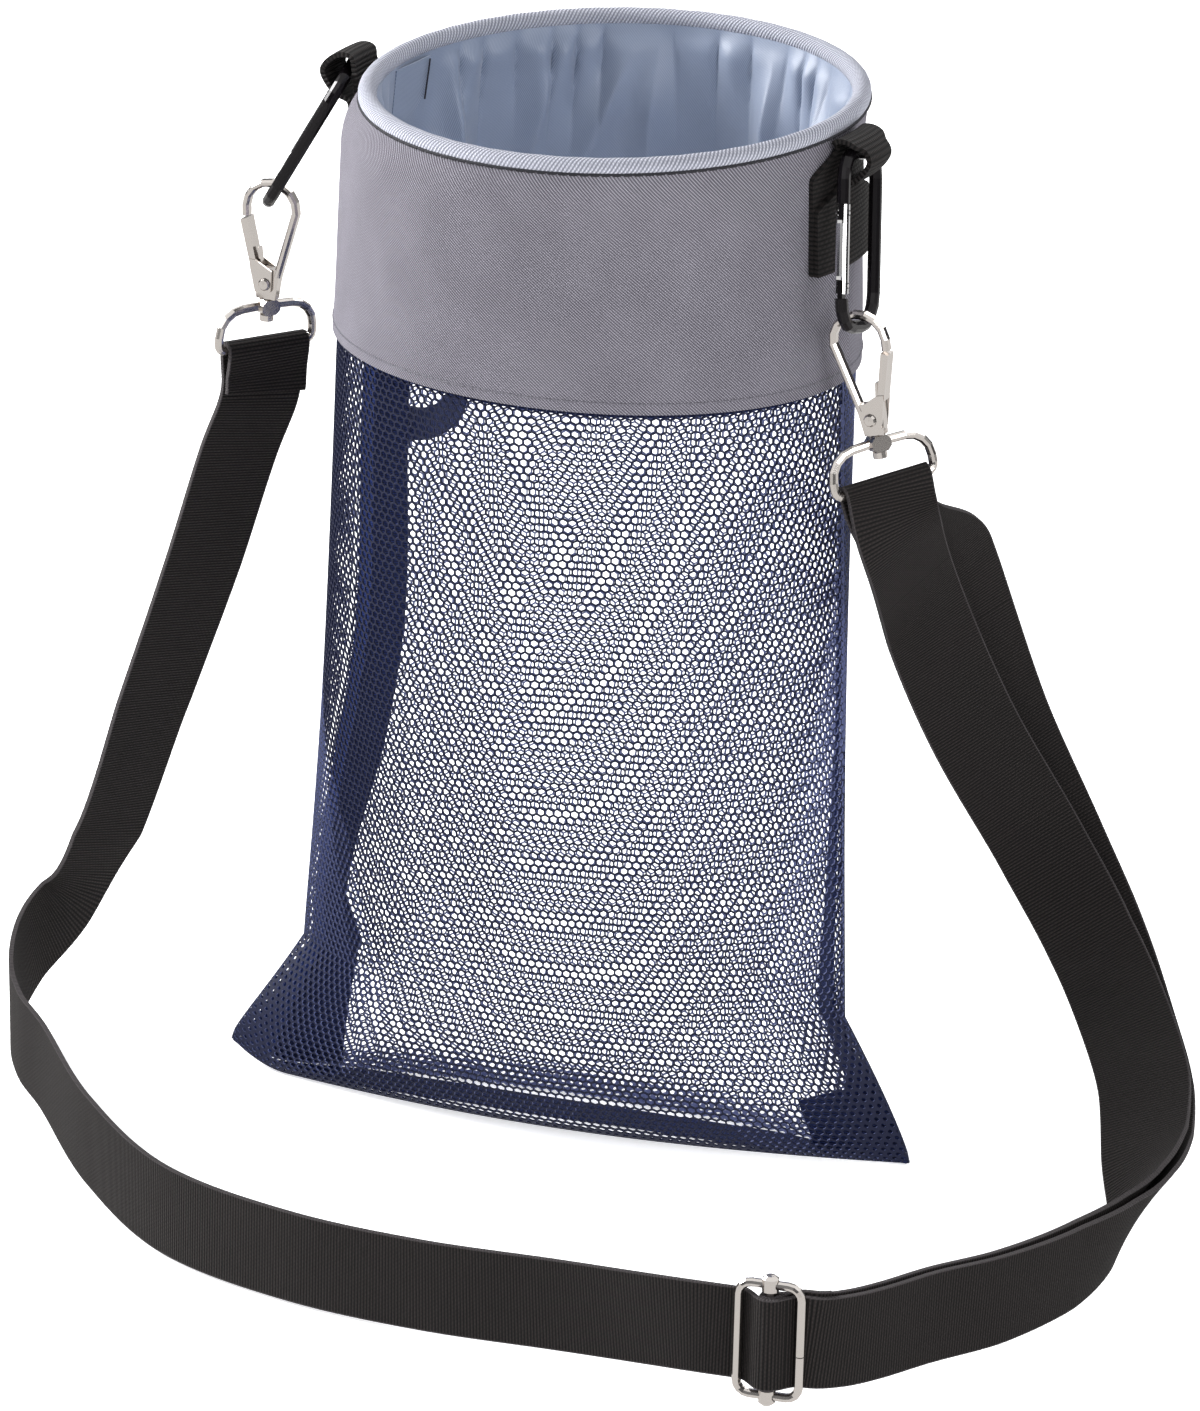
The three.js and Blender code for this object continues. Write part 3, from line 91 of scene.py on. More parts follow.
print("camera at", [round(c, 3) for c in camera.location])

# %% [markdown]
# ## Helpers for meshes
# A grid primitive is the start of every cloth piece. Its points are moved to places worked out from
# two shares, u and v, and the same places in millimetres along the cloth are kept as its UV map, so
# that a weave has its real pitch. A Solidify modifier then gives the cloth its thickness. Sculpting
# would be freer, but a place worked out from shares can be changed by one number.

# %% Select and modify
def only(obj):
    bpy.ops.object.select_all(action="DESELECT")
    obj.select_set(True)
    bpy.context.view_layer.objects.active = obj


def apply_modifier(obj, kind, **settings):
    only(obj)
    modifier = obj.modifiers.new(kind.lower(), kind)
    for key, value in settings.items():
        setattr(modifier, key, value)
    bpy.ops.object.modifier_apply(modifier=modifier.name)


def points_of(obj):
    places = np.empty(len(obj.data.vertices) * 3)
    obj.data.vertices.foreach_get("co", places)
    return places.reshape(-1, 3)


print("selecting helpers ready")

# %% Cloth from a grid
CLOTH_SMOOTH, MERGE_DISTANCE = math.radians(50), 1e-6


def set_uv(obj, per_point):
    layer = obj.data.uv_layers[0] if obj.data.uv_layers else obj.data.uv_layers.new(name="UVMap")
    owner = np.empty(len(obj.data.loops), np.int64)
    obj.data.loops.foreach_get("vertex_index", owner)
    layer.data.foreach_set("uv", np.asarray(per_point, np.float32)[owner].ravel())


def grid_piece(name, columns, rows, place, thickness, offset=-1.0, ring=False):
    """Cloth: place gives each point of a grid its place and its millimetres along the cloth"""
    bpy.ops.object.select_all(action="DESELECT")
    bpy.ops.mesh.primitive_grid_add(x_subdivisions=columns, y_subdivisions=rows, size=1)
    obj = bpy.context.object
    obj.name = obj.data.name = name
    flat = points_of(obj)
    points, cloth = place(flat[:, 0] + 0.5, flat[:, 1] + 0.5)
    obj.data.vertices.foreach_set("co", (np.asarray(points) * MM).ravel())
    set_uv(obj, cloth)
    if ring:
        bpy.ops.object.mode_set(mode="EDIT")
        bpy.ops.mesh.select_all(action="SELECT")
        bpy.ops.mesh.remove_doubles(threshold=MERGE_DISTANCE)
        bpy.ops.object.mode_set(mode="OBJECT")
    apply_modifier(obj, "SOLIDIFY", thickness=thickness * MM, offset=offset, use_even_offset=True)
    only(obj)
    bpy.ops.object.shade_smooth_by_angle(angle=CLOTH_SMOOTH)
    return obj


print("cloth helpers ready")

# %% [markdown]
# ## Materials
# Every material is made of nodes. Colours are written as the hex codes of a paint chart and turned
# into linear light. Woven cloth reads the UV map in millimetres: sine waves along and across it give
# the threads, and the same waves give a fine bump. A picture of cloth would be quicker, but its
# thread would not keep its size from piece to piece.

# %% Colours, nodes and waves
def linear(code):
    parts = [int(code[i:i + 2], 16) / 255 for i in (1, 3, 5)]
    return [c / 12.92 if c <= 0.04045 else ((c + 0.055) / 1.055) ** 2.4 for c in parts] + [1.0]


def add(tree, kind, inputs=(), out=None, **settings):
    """Add a node with its settings and links, and return it or one of its outputs"""
    made = tree.nodes.new("ShaderNode" + kind)
    for key, value in settings.items():
        setattr(made, key, value)
    for socket, value in dict(inputs).items():
        if isinstance(value, bpy.types.NodeSocket):
            tree.links.new(value, made.inputs[socket])
        else:
            made.inputs[socket].default_value = value
    return made if out is None else made.outputs[out]


def new_material(name, colour, roughness, metallic=0.0, **sockets):
    made = bpy.data.materials.new(name)
    made.use_nodes = True
    shader = made.node_tree.nodes["Principled BSDF"]
    shader.inputs["Base Color"].default_value = linear(colour)
    shader.inputs["Roughness"].default_value = roughness
    shader.inputs["Metallic"].default_value = metallic
    for socket, value in sockets.items():
        shader.inputs[socket.replace("_", " ")].default_value = value
    return made, made.node_tree, shader


def wave(tree, along, pitch):
    """A sine wave from 0 to 1 along a length in millimetres"""
    phase = add(tree, "Math", {0: along, 1: 2 * math.pi / pitch}, 0, operation="MULTIPLY")
    swing = add(tree, "Math", {0: phase}, 0, operation="SINE")
    return add(tree, "Math", {0: swing, 1: 0.5, 2: 0.5}, 0, operation="MULTIPLY_ADD")


def cloth_uv(tree):
    """Millimetres along the cloth and across it, from the piece's UV map"""
    split = add(tree, "SeparateXYZ", {0: add(tree, "TexCoord", out="UV")})
    return split.outputs[0], split.outputs[1]


print("node helpers ready")

# %% [markdown]
# A weave is two things at once: a colour that is darker between the threads, and a relief. Twill has
# slanting ribs. Webbing has ribs straight across, each broken into the turns of its threads, and a
# paler edge that is a painted highlight, where the edge would catch light. The real threads are half a
# millimetre or finer, which is too fine to show in the render, so the pitches below are drawn coarser
# than the real ones.

# %% Weaves
MOTTLE_WIDE, EDGE_HIGHLIGHT_WIDE = 20.0, 0.4
TWILL_CROSS, TWILL_CUT = 0.8, 0.5
TURN_CUT, TURN_REST = 0.35, 0.65


def finish_weave(tree, shader, height, dark, light, bump, mottle=0.12):
    """Colour and bump from a height of 0 to 1, with a soft change over the cloth"""
    place = add(tree, "TexCoord", out="Object")
    scale = 1 / (MOTTLE_WIDE * MM)
    cloud = add(tree, "TexNoise", {"Vector": place, "Scale": scale, "Detail": 3.0}, "Fac")
    even = add(tree, "Math", {0: cloud, 1: 2 * mottle, 2: -mottle}, 0, operation="MULTIPLY_ADD")
    share = add(tree, "Math", {0: height, 1: even}, 0, operation="ADD")
    tint = add(tree, "MixRGB", {0: share, 1: linear(dark), 2: linear(light)}, 0, use_clamp=True)
    tree.links.new(tint, shader.inputs["Base Color"])
    relief = add(tree, "Bump", {"Height": height, "Distance": bump * MM, "Strength": 1.0}, "Normal")
    tree.links.new(relief, shader.inputs["Normal"])


def twill(name, dark, light, pitch, bump, roughness, slope=1.0):
    made, tree, shader = new_material(name, light, roughness, Specular_IOR_Level=0.25)
    u, v = cloth_uv(tree)
    rising = add(tree, "Math", {0: v, 1: slope, 2: u}, 0, operation="MULTIPLY_ADD")
    falling = add(tree, "Math", {0: v, 1: -slope, 2: u}, 0, operation="MULTIPLY_ADD")
    rib, cross = wave(tree, rising, pitch), wave(tree, falling, pitch * TWILL_CROSS)
    cut = add(tree, "Math", {0: cross, 1: TWILL_CUT, 2: TWILL_CUT}, 0, operation="MULTIPLY_ADD")
    height = add(tree, "Math", {0: rib, 1: cut}, 0, operation="MULTIPLY")
    finish_weave(tree, shader, height, dark, light, bump)
    return made


def ribbed(name, dark, light, pitch, bump, roughness, cross_pitch=1.4, width=0.0, edge_highlight="#3b3738"):
    """Webbing or tape; a width in millimetres gives it a painted highlight along both edges"""
    made, tree, shader = new_material(name, light, roughness, Specular_IOR_Level=0.3)
    u, v = cloth_uv(tree)
    rows = add(tree, "Math", {0: u, 1: pitch}, 0, operation="DIVIDE")
    row = add(tree, "Math", {0: rows}, 0, operation="FLOOR")
    shifted = add(tree, "Math", {0: row, 1: cross_pitch / 2, 2: v}, 0, operation="MULTIPLY_ADD")
    thread, rib = wave(tree, shifted, cross_pitch), wave(tree, u, pitch)
    cut = add(tree, "Math", {0: thread, 1: TURN_CUT, 2: TURN_REST}, 0, operation="MULTIPLY_ADD")
    height = add(tree, "Math", {0: rib, 1: cut}, 0, operation="MULTIPLY")
    finish_weave(tree, shader, height, dark, light, bump, mottle=0.08)
    # A paler band along each edge: painted highlight, the light that the webbing's edges catch.
    if width:
        off = add(tree, "Math", {0: v, 1: width / 2}, 0, operation="SUBTRACT")
        off = add(tree, "Math", {0: off}, 0, operation="ABSOLUTE")
        edge = add(tree, "Math", {0: off, 1: width / 2 - EDGE_HIGHLIGHT_WIDE}, 0, operation="GREATER_THAN")
        body = shader.inputs["Base Color"].links[0].from_socket
        tint = add(tree, "MixRGB", {0: edge, 1: body, 2: linear(edge_highlight)}, 0)
        tree.links.new(tint, shader.inputs["Base Color"])
    return made


print("weaves ready")

# %% [markdown]
# The net is knitted from dark navy thread. Seen from outside it is nearly black, but the inner side of
# the far panel looks pale through the holes, where it faces white light. A lamp inside the bag could do
# that, but it would light the lining as well, so the material paints that light: it tells the two sides
# apart by where a face points, and gives the inner side a pale colour of painted light.

# %% Net thread
# Knitted polyester: dull dark navy outside. Its inner side faces white light through the far cells, and
# that light is painted: a face that points in towards the bag's middle gets a pale colour of painted
# light, and one that points away from it keeps the navy.
NET_NAVY, NET_PAINTED_LIGHT = "#0c1331", "#666e98"
BAG_FLATNESS = 4
net_thread, net_tree, net_shader = new_material("net thread navy", NET_NAVY, 0.6,
                                                 Specular_IOR_Level=0.3)
net_place = add(net_tree, "TexCoord")
spread_out = add(net_tree, "VectorMath", {0: net_place.outputs["Object"], 1: (1, BAG_FLATNESS, 0)}, 0,
                 operation="MULTIPLY")
facing_out = add(net_tree, "VectorMath", {0: net_place.outputs["Normal"], 1: spread_out}, "Value",
                 operation="DOT_PRODUCT")
outside = add(net_tree, "Math", {0: facing_out, 1: 0.0}, 0, operation="GREATER_THAN")
# Faces that point in get the pale colour: painted light from the white room seen through the far cells.
net_navy_and_painted_light = add(net_tree, "MixRGB", {0: outside, 1: linear(NET_PAINTED_LIGHT), 2: linear(NET_NAVY)}, 0)
net_tree.links.new(net_navy_and_painted_light, net_shader.inputs["Base Color"])
print("made", net_thread.name)

# %% [markdown]
# The other soft finishes are tape, ribbon, twill, webbing, satin and sewing thread. Each could be a
# material of its own from the start, but all the woven ones differ only in colour, pitch, relief and
# shine, so the weaves above make them.

# %% Woven cloth and thread
STRAP_WIDTH = 30.0
# Tape woven from polyester: a close navy rib with little shine.
tape_navy = ribbed("binding tape navy", "#0a1433", "#1a2b62", 0.8, 0.12, 0.6, 0.9)
# Satin ribbon: the same blue but smoother, so it shows as a lighter line along the seam; its lighter
# colour is painted sheen.
ribbon_navy = ribbed("satin ribbon navy", "#223369", "#39509a", 0.6, 0.05, 0.4, 0.7)
# Polyester woven as twill: matt warm grey with a slanting grain.
collar_grey = twill("woven polyester grey", "#49464e", "#a29fa9", 1.1, 0.3, 0.85)
# The same cloth rolled tight, which opens the weave and makes it paler.
piping_grey = twill("rolled tape grey", "#7a7c87", "#d3d4df", 1.3, 0.3, 0.85, 0.6)
# Polypropylene webbing: matt black with ribs across, and a painted highlight along its edges where they
# would catch a little light.
webbing_black = ribbed("strap webbing black", "#010101", "#2b2524", 1.05, 0.4, 0.85, width=STRAP_WIDTH)
# Heavier webbing for the loops: as black, with broader ribs that shine a little more.
loop_black = ribbed("loop webbing black", "#020202", "#241f1e", 1.5, 0.45, 0.75, 2.2)
# Spun sewing thread, matt: dark in the piping's seam and grey in the hem. The dark one also colours the
# continuous wire of painted shade in the crease under the piping.
dark_thread_and_crease_shade, _, _ = new_material("sewing thread and crease shade dark grey", "#1d1d24", 0.8)
thread_grey, _, _ = new_material("sewing thread grey", "#68666e", 0.8)

# Satin lining: a smooth silver blue, with a soft sheen where it turns away.
SATIN_PITCH, SATIN_SLANT = 0.6, 0.4
satin, satin_tree, satin_shader = new_material("satin lining silver blue", "#7f8ba0", 0.42,
                                               Sheen_Weight=0.3)
satin_u, satin_v = cloth_uv(satin_tree)
satin_along = add(satin_tree, "Math", {0: satin_v, 1: SATIN_SLANT, 2: satin_u}, 0,
                  operation="MULTIPLY_ADD")
satin_rib = wave(satin_tree, satin_along, SATIN_PITCH)
finish_weave(satin_tree, satin_shader, satin_rib, "#6d788e", "#8e99ad", 0.03, 0.06)
print("materials", len(bpy.data.materials))

# %% [markdown]
# The hooks, rings and slider are bright nickel, the carabiners black with bright gates. Scratches could
# be added, but the real ones look new, so a plain colour and the right roughness are enough. Flat and
# round faces are told apart by their angle, so that edges stay crisp.

# %% Metals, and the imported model's own pieces
METAL_SMOOTH = math.radians(32)
# Nickel plated on cast metal: warm and bright, with a slight haze.
nickel, _, _ = new_material("nickel plate", "#dad4cf", 0.17, 1.0)
# Polished steel: brighter and cooler, for the gates and pins.
gate_steel, _, _ = new_material("polished steel", "#e2e2e3", 0.14, 1.0)
# Black anodised aluminium: nearly black, with a hard highlight.
anodised, _, _ = new_material("black anodised aluminium", "#131013", 0.2, 0.5)
# Drawn spring steel: dull grey, and seen only where the piping is open.
hoop_steel, _, _ = new_material("spring steel wire", "#8f9194", 0.35, 1.0)


def dress(obj, material):
    obj.data.materials.clear()
    obj.data.materials.append(material)
    return obj


for side in SIDES:
    for kind in ("snap_hook_body", "snap_hook_gate", "snap_hook_rivet", "snap_hook_spring", "d_ring"):
        dress(nodes[f"{kind}_{side}"], nickel)
    for kind in ("carabiner_gate", "carabiner_gate_pin", "carabiner_latch_pin"):
        dress(nodes[f"{kind}_{side}"], gate_steel)
    dress(nodes[f"carabiner_body_{side}"], anodised)
dress(nodes["slider_frame"], nickel)
dress(nodes["slider_bar"], nickel)
for node in nodes.values():
    if node.data.materials and node.data.materials[0] in (nickel, gate_steel, anodised):
        only(node)
        bpy.ops.object.shade_smooth_by_angle(angle=METAL_SMOOTH)
print("materials", len(bpy.data.materials))

# %% [markdown]
# ## The strap's route
# The strap is one length of webbing. Its middle line is a smooth curve through the rows below: from
# the left D-ring down to the floor, round the front, through the slider, and up to the right D-ring.
# Each row is a place and the direction that the inner face looks in there. A physics drop could lay
# the strap too, but only rows that are listed one by one put it where the real one lies.

# %% Where the strap meets the metal
CLEAR = 0.3
STRAP_THICK, STUB, STUB_RAISE = 1.5, 18.0, 1.2
FOLD_STUB, FOLD_LONG = 15.0, 18.0
LAYER = STRAP_THICK + CLEAR
FLOOR_Z, SLIDER_X, SLIDER_Y, SLIDER_Z = 15.3, 143, -181, 21.95
SLIDER_TURN = math.radians(7)
RING_DROP = 13.5
along_slider = np.array([math.cos(SLIDER_TURN), math.sin(SLIDER_TURN), 0])
slider_face = np.array([-math.sin(SLIDER_TURN), math.cos(SLIDER_TURN), 0])
slider_place = np.array([SLIDER_X, SLIDER_Y, SLIDER_Z])
joints = {joint["name"]: joint for joint in frame["joints"]}
ring_bar, ring_down, ring_face = {}, {}, {}
for side in SIDES:
    swivel = joints["ring_swivel_" + side]
    axis = np.array(swivel["axis"])
    down = -axis * np.sign(axis[2])
    ring = points_of(nodes["d_ring_" + side])
    ring = ring @ np.array(nodes["d_ring_" + side].matrix_world.to_3x3()).T
    spread = ring - ring.mean(0)
    spread = spread - np.outer(spread @ down, down)
    widest = np.linalg.svd(spread, full_matrices=False)[2][0]
    face = np.cross(widest, down)
    ring_down[side] = down
    ring_bar[side] = np.array(swivel["pos_m"]) / MM + down * RING_DROP
    ring_face[side] = -face * np.sign(face[1])
    print(side, "ring bar", ring_bar[side].round(2), "face", ring_face[side].round(3))


def on_slider(distance):
    return slider_place + along_slider * distance


def below(side, distance):
    return ring_bar[side] + ring_down[side] * distance


# %% Rows of the route
ROUTE = [
    (ring_bar["left"], ring_face["left"]),
    (below("left", 13), ring_face["left"]),
    # down the left side
    ((-128, 6.5, 206), (0.84, -0.53, 0.1)),
    ((-142, 9, 163), (0.85, -0.5, 0.2)),
    ((-160.3, 12, 112), (0.87, -0.43, 0.25)),
    ((-178, 13.5, 61), (0.92, -0.33, 0.25)),
    ((-189.5, 9, 38), (0.97, -0.1, 0.2)),
    ((-195, -8, 26), (1, 0.1, 0.1)),
    ((-189, -34, 18.5), (0.96, 0.28, 0)),
    ((-175.5, -56, 15.8), (0.87, 0.5, 0)),
    # on edge along the floor
    ((-157, -76, FLOOR_Z), (0.8, 0.6, 0)),
    ((-116, -124.7, FLOOR_Z), (0.68, 0.73, 0)),
    ((-69, -164, FLOOR_Z), (0.42, 0.91, 0)),
    ((-20, -178.5, FLOOR_Z), (0.15, 0.99, 0)),
    ((25, -181, FLOOR_Z + 0.4), (0, 1, 0)),
    ((72, -180, FLOOR_Z + 2.5), (-0.02, 1, 0)),
    # through the slider
    (on_slider(-26), slider_face),
    (on_slider(-12), slider_face),
    (on_slider(0), slider_face),
    (on_slider(8), slider_face),
    (on_slider(11), (-0.25, 0.97, 0)),
    ((158, -177.3, SLIDER_Z - 0.5), (-0.52, 0.85, 0)),
    ((164.5, -169, SLIDER_Z - 1.5), (-0.82, 0.57, 0)),
    ((170.5, -157.5, SLIDER_Z - 2.4), (-0.88, 0.47, 0)),
    # the turn at the lower right, where the strap folds over and leaves the floor
    ((179, -138, FLOOR_Z + 3.2), (-0.93, 0.37, 0)),
    ((192.5, -111, FLOOR_Z + 1.4), (-0.92, 0.4, 0.04)),
    ((204.5, -79, 17), (-0.93, 0.34, 0.15)),
    ((210.5, -56, 20.2), (-0.92, 0.12, 0.36)),
    ((211, -37, 25.5), (-0.78, -0.24, 0.58)),
    ((204.5, -17, 33), (-0.34, -0.43, 0.83)),
    # up the right side
    ((196, 3, 42), (-0.1, -0.5, 0.82)),
    ((183.5, 23, 51), (-0.06, -0.62, 0.7)),
    ((160, 50, 70), (0, -0.85, 0.45)),
    ((138, 55, 98), (0.2, -0.86, 0.42)),
    ((117, 40, 140.5), (0.48, -0.82, 0.3)),
    ((106, 18, 185), (0.68, -0.71, 0.12)),
    (below("right", 14), ring_face["right"]),
    (ring_bar["right"], ring_face["right"]),
]
RISER_ROW, ROUTE_STEPS = 27, 40
print("rows in the route", len(ROUTE))

# %% A curve through the rows
def unit(v):
    return v / np.linalg.norm(v, axis=-1, keepdims=True)


def lengths_along(points):
    """The length of a line of points up to each of them"""
    return np.r_[0, np.cumsum(np.linalg.norm(np.diff(points, axis=0), axis=1))]


def route_table(rows, steps=ROUTE_STEPS):
    """Lengths, places, faces and width directions along a centripetal curve through the rows"""
    places = np.array([row[0] for row in rows], float)
    faces = np.array([row[1] for row in rows], float)
    padded = np.vstack([2 * places[0] - places[1], places, 2 * places[-1] - places[-2]])
    found, looks, tangents = [], [], []
    for i in range(len(rows) - 1):
        p0, p1, p2, p3 = padded[i:i + 4]
        d0, d1, d2 = (math.sqrt(np.linalg.norm(b - a)) for a, b in ((p0, p1), (p1, p2), (p2, p3)))
        m1 = ((p1 - p0) / d0 - (p2 - p0) / (d0 + d1) + (p2 - p1) / d1) * d1
        m2 = ((p2 - p1) / d1 - (p3 - p1) / (d1 + d2) + (p3 - p2) / d2) * d1
        last = i == len(rows) - 2
        t = np.linspace(0, 1, steps + 1)[: steps + 1 if last else steps, None]
        c2, c3 = -3 * p1 + 3 * p2 - 2 * m1 - m2, 2 * p1 - 2 * p2 + m1 + m2
        found.append(p1 + m1 * t + c2 * t ** 2 + c3 * t ** 3)
        tangents.append(m1 + 2 * c2 * t + 3 * c3 * t ** 2)
        looks.append(faces[i] + (faces[i + 1] - faces[i]) * t)
    found, looks, tangents = np.vstack(found), np.vstack(looks), unit(np.vstack(tangents))
    looks = unit(looks - tangents * np.sum(looks * tangents, 1, keepdims=True))
    return lengths_along(found), found, looks, unit(np.cross(looks, tangents))


route_run, route_place, route_look, route_across = route_table(ROUTE)
LENGTH = route_run[-1]
SLIDER_AT = route_run[np.argmin(np.linalg.norm(route_place - slider_place, axis=1))]
RISER_AT = route_run[RISER_ROW * ROUTE_STEPS]
print("strap length in the route, mm:", round(LENGTH, 1), "slider at", round(SLIDER_AT, 1))

# %% [markdown]
# The webbing doesn't follow the route's middle line everywhere. It passes behind each D-ring's bar
# and over the slider's bar, and on the right a second layer comes back from the D-ring to the slider.
# There the long layer steps sideways, so that both layers are seen.

# %% Lines of the two layers
RING_WIRE, BAR_WIRE = 1.5, 1.45
WRAP = RING_WIRE + CLEAR + STRAP_THICK / 2
FRAME_OFF = BAR_WIRE + CLEAR + STRAP_THICK / 2
HUMP = FRAME_OFF + WRAP + LAYER
SLIDER_HALF = 9.85
RING_EASE, LEG_FROM = 24, 2
SIDE_STEP, SIDE_STEP_OVER, SIDE_STEP_LOW, SIDE_STEP_FULL = 18.0, 62.0, 0.25, 0.9
LAYER_BOW = 3


def lerp(a, b, t):
    return a + (b - a) * t


def smooth(x, low, high):
    t = np.clip((x - low) / (high - low), 0, 1)
    return t * t * (3 - 2 * t)


def between(x, known, table):
    """Points read off a line of points, by a length or a share"""
    return np.stack([np.interp(x, known, table[:, k]) for k in range(3)], -1)


def at(distance):
    """Place, face and width direction at a length along the route"""
    tables = (route_place, route_look, route_across)
    place, look, across = (between(distance, route_run, table) for table in tables)
    return place, unit(look), unit(across)


def ease(distance):
    return smooth(RING_EASE - distance, 0, RING_EASE)


def hump(distance):
    u = np.clip(np.abs(distance - SLIDER_AT) / SLIDER_HALF, 0, 1)
    return -HUMP * np.cos(math.pi / 2 * u) ** 2


def riser(distance):
    return np.clip((distance - RISER_AT) / (LENGTH - RISER_AT), 0, 1)


def run_line(distance):
    """The long run: behind each D-ring's bar, over the slider's bar, sideways on the right riser"""
    place, look, across = at(distance)
    off = hump(distance) - WRAP * (ease(distance) + ease(LENGTH - distance))
    leaving = smooth(LENGTH - distance, LEG_FROM, SIDE_STEP_OVER)
    shift = -SIDE_STEP * leaving * smooth(riser(distance), SIDE_STEP_LOW, SIDE_STEP_FULL)
    return place + look * off[:, None] + across * shift[:, None], across


def return_line(distance):
    """The layer that comes back from the right D-ring to the slider"""
    place, look, across = at(distance)
    apart = 2 * LAYER + LAYER_BOW * np.sin(math.pi * riser(distance)) ** 2
    off = lerp(apart, WRAP, ease(LENGTH - distance))
    return place + look * off[:, None], across


print("bar wrap, mm:", round(WRAP, 2), "hump at the slider", round(HUMP, 2))

# %% [markdown]
# ## The strap
# Each stretch of webbing is a grid along its own middle line, 30 mm wide and 1.5 mm thick. The folds
# round the D-rings are attached to their rings, and each riser is cut into three stretches. One long
# mesh would be simpler, but it could follow only one of the clips. The long stretches lie on the floor.

# %% Webbing stretches
RIBBON_STEP, RIBBON_ROWS, FEWEST_STEPS = 1.8, 6, 8
HALF_TURN_POINTS, LEG_POINTS, STUB_POINTS = 24, 24, 14
STUB_END, STUB_END_LIFT = 7, 1.1


def ribbon(name, line, across, start=0.0, width=STRAP_WIDTH, thick=STRAP_THICK):
    """A strip along a line of points, with its length and width in millimetres as its UV map"""
    line, across = np.asarray(line), np.asarray(across)
    run = lengths_along(line)
    share = run / run[-1]

    def place(u, v):
        middle, side = between(u, share, line), unit(between(u, share, across))
        return middle + side * ((v - 0.5) * width)[:, None], np.c_[start + u * run[-1], v * width]

    columns = max(FEWEST_STEPS, int(run[-1] / RIBBON_STEP))
    return grid_piece(name, columns, RIBBON_ROWS, place, thick, offset=0.0)


def stretch(name, line_of, low, high):
    distance = np.linspace(low, high, max(FEWEST_STEPS, int(abs(high - low))))
    line, across = line_of(distance)
    return ribbon(name, line, across, start=low), line


def webbed(piece):
    return dress(piece, webbing_black)


def fold_line(side, angles):
    """Round a D-ring's bar, by the angle from the near face"""
    up = -ring_down[side]
    out = ring_face[side] * np.cos(angles)[:, None] + up * np.sin(angles)[:, None]
    return ring_bar[side] + out * WRAP


def left_stub(distance):
    """The short end that is folded back at the left D-ring and sewn to the long run"""
    place, look, across = at(distance)
    off = lerp(WRAP, -WRAP * ease(distance) + LAYER, smooth(distance, 0, FOLD_STUB))
    off = off + STUB_END_LIFT * smooth(distance, FOLD_STUB - STUB_END, FOLD_STUB)
    return place + look * off[:, None], across


def fold_piece(side):
    turn_line = fold_line(side, np.linspace(0, math.pi, HALF_TURN_POINTS))
    if side == "left":
        near = left_stub(np.linspace(FOLD_STUB, LEG_FROM, STUB_POINTS))
        edge, far = 0.0, run_line(np.linspace(LEG_FROM, FOLD_LONG, LEG_POINTS))
    else:
        near = return_line(np.linspace(LENGTH - FOLD_LONG, LENGTH - LEG_FROM, LEG_POINTS))
        edge, far = LENGTH, run_line(np.linspace(LENGTH - LEG_FROM, LENGTH - FOLD_LONG, LEG_POINTS))
    turn_across = np.repeat(at(np.array([edge]))[2], HALF_TURN_POINTS, 0)
    return ribbon("strap_fold_" + side, np.vstack([near[0], turn_line, far[0]]),
                  np.vstack([near[1], turn_across, far[1]]))


for side in SIDES:
    piece = webbed(fold_piece(side))
    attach(piece, "ring_" + side)
    print(piece.name, "faces", len(piece.data.polygons))

# %% Risers, one stretch for each joint of a clip
def joined(pieces, name):
    bpy.ops.object.select_all(action="DESELECT")
    for piece in pieces:
        piece.select_set(True)
    bpy.context.view_layer.objects.active = pieces[0]
    if len(pieces) > 1:
        bpy.ops.object.join()
    obj = bpy.context.object
    obj.name = obj.data.name = name
    return obj


STEPS = [FOLD_LONG, 46, 86, 158]
riser_pieces = {"left": [], "right": []}
for side in SIDES:
    for i in range(3):
        near, far = STEPS[i], STEPS[i + 1]
        if side == "left":
            parts = [stretch("run", run_line, near, far)[0]]
        else:
            parts = [stretch("run", run_line, LENGTH - far, LENGTH - near)[0],
                     stretch("back", return_line, LENGTH - far, LENGTH - near)[0]]
        piece = webbed(joined(parts, f"strap_riser_{side}_{i + 1}"))
        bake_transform(piece)
        riser_pieces[side].append(piece)
print("risers", {side: len(pieces) for side, pieces in riser_pieces.items()})

# %% Long stretches, and the run through the slider
FAR = STEPS[3]
BEFORE_SLIDER, AFTER_SLIDER = 45, 60
APPROACH, LEAVE = SLIDER_AT - BEFORE_SLIDER, SLIDER_AT + AFTER_SLIDER
EDGE, BAR_REACH = SLIDER_HALF + 1, 5.0
left_run, left_path = stretch("strap_long_run", run_line, FAR, APPROACH)
right_run, right_path = stretch("strap_right_run", run_line, LEAVE, LENGTH - FAR)
back_run, back_path = stretch("strap_return_run", return_line, LEAVE, LENGTH - FAR)
for piece in (left_run, right_run, back_run):
    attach(webbed(piece), "bag")

approach = webbed(stretch("strap_to_slider", run_line, APPROACH, SLIDER_AT - EDGE)[0])
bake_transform(approach)
ramp = webbed(stretch("strap_onto_bar", run_line, SLIDER_AT - EDGE, SLIDER_AT - BAR_REACH)[0])
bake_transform(ramp)
over_bar = stretch("strap_over_bar", run_line, SLIDER_AT - BAR_REACH, SLIDER_AT + BAR_REACH)[0]
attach(webbed(over_bar), "slider_bar")
print("long run points", len(left_run.data.vertices))

# %% [markdown]
# The return layer ends in a loop round the slider's bar. Its stub lies between the return layer and
# the long run, where it is sewn down. The loop rides the bar, and the webbing beside it bends from
# the bar to the frame, because the bar slides a little in the frame.

# %% Loop round the slider's bar
SLOPE_STEP = 0.1
STUB_RAISE_FROM, STUB_RAISE_TO = 2, 11
COME_TO, GO_FROM = 2, 1.4
COME_POINTS, GO_POINTS = 10, 12


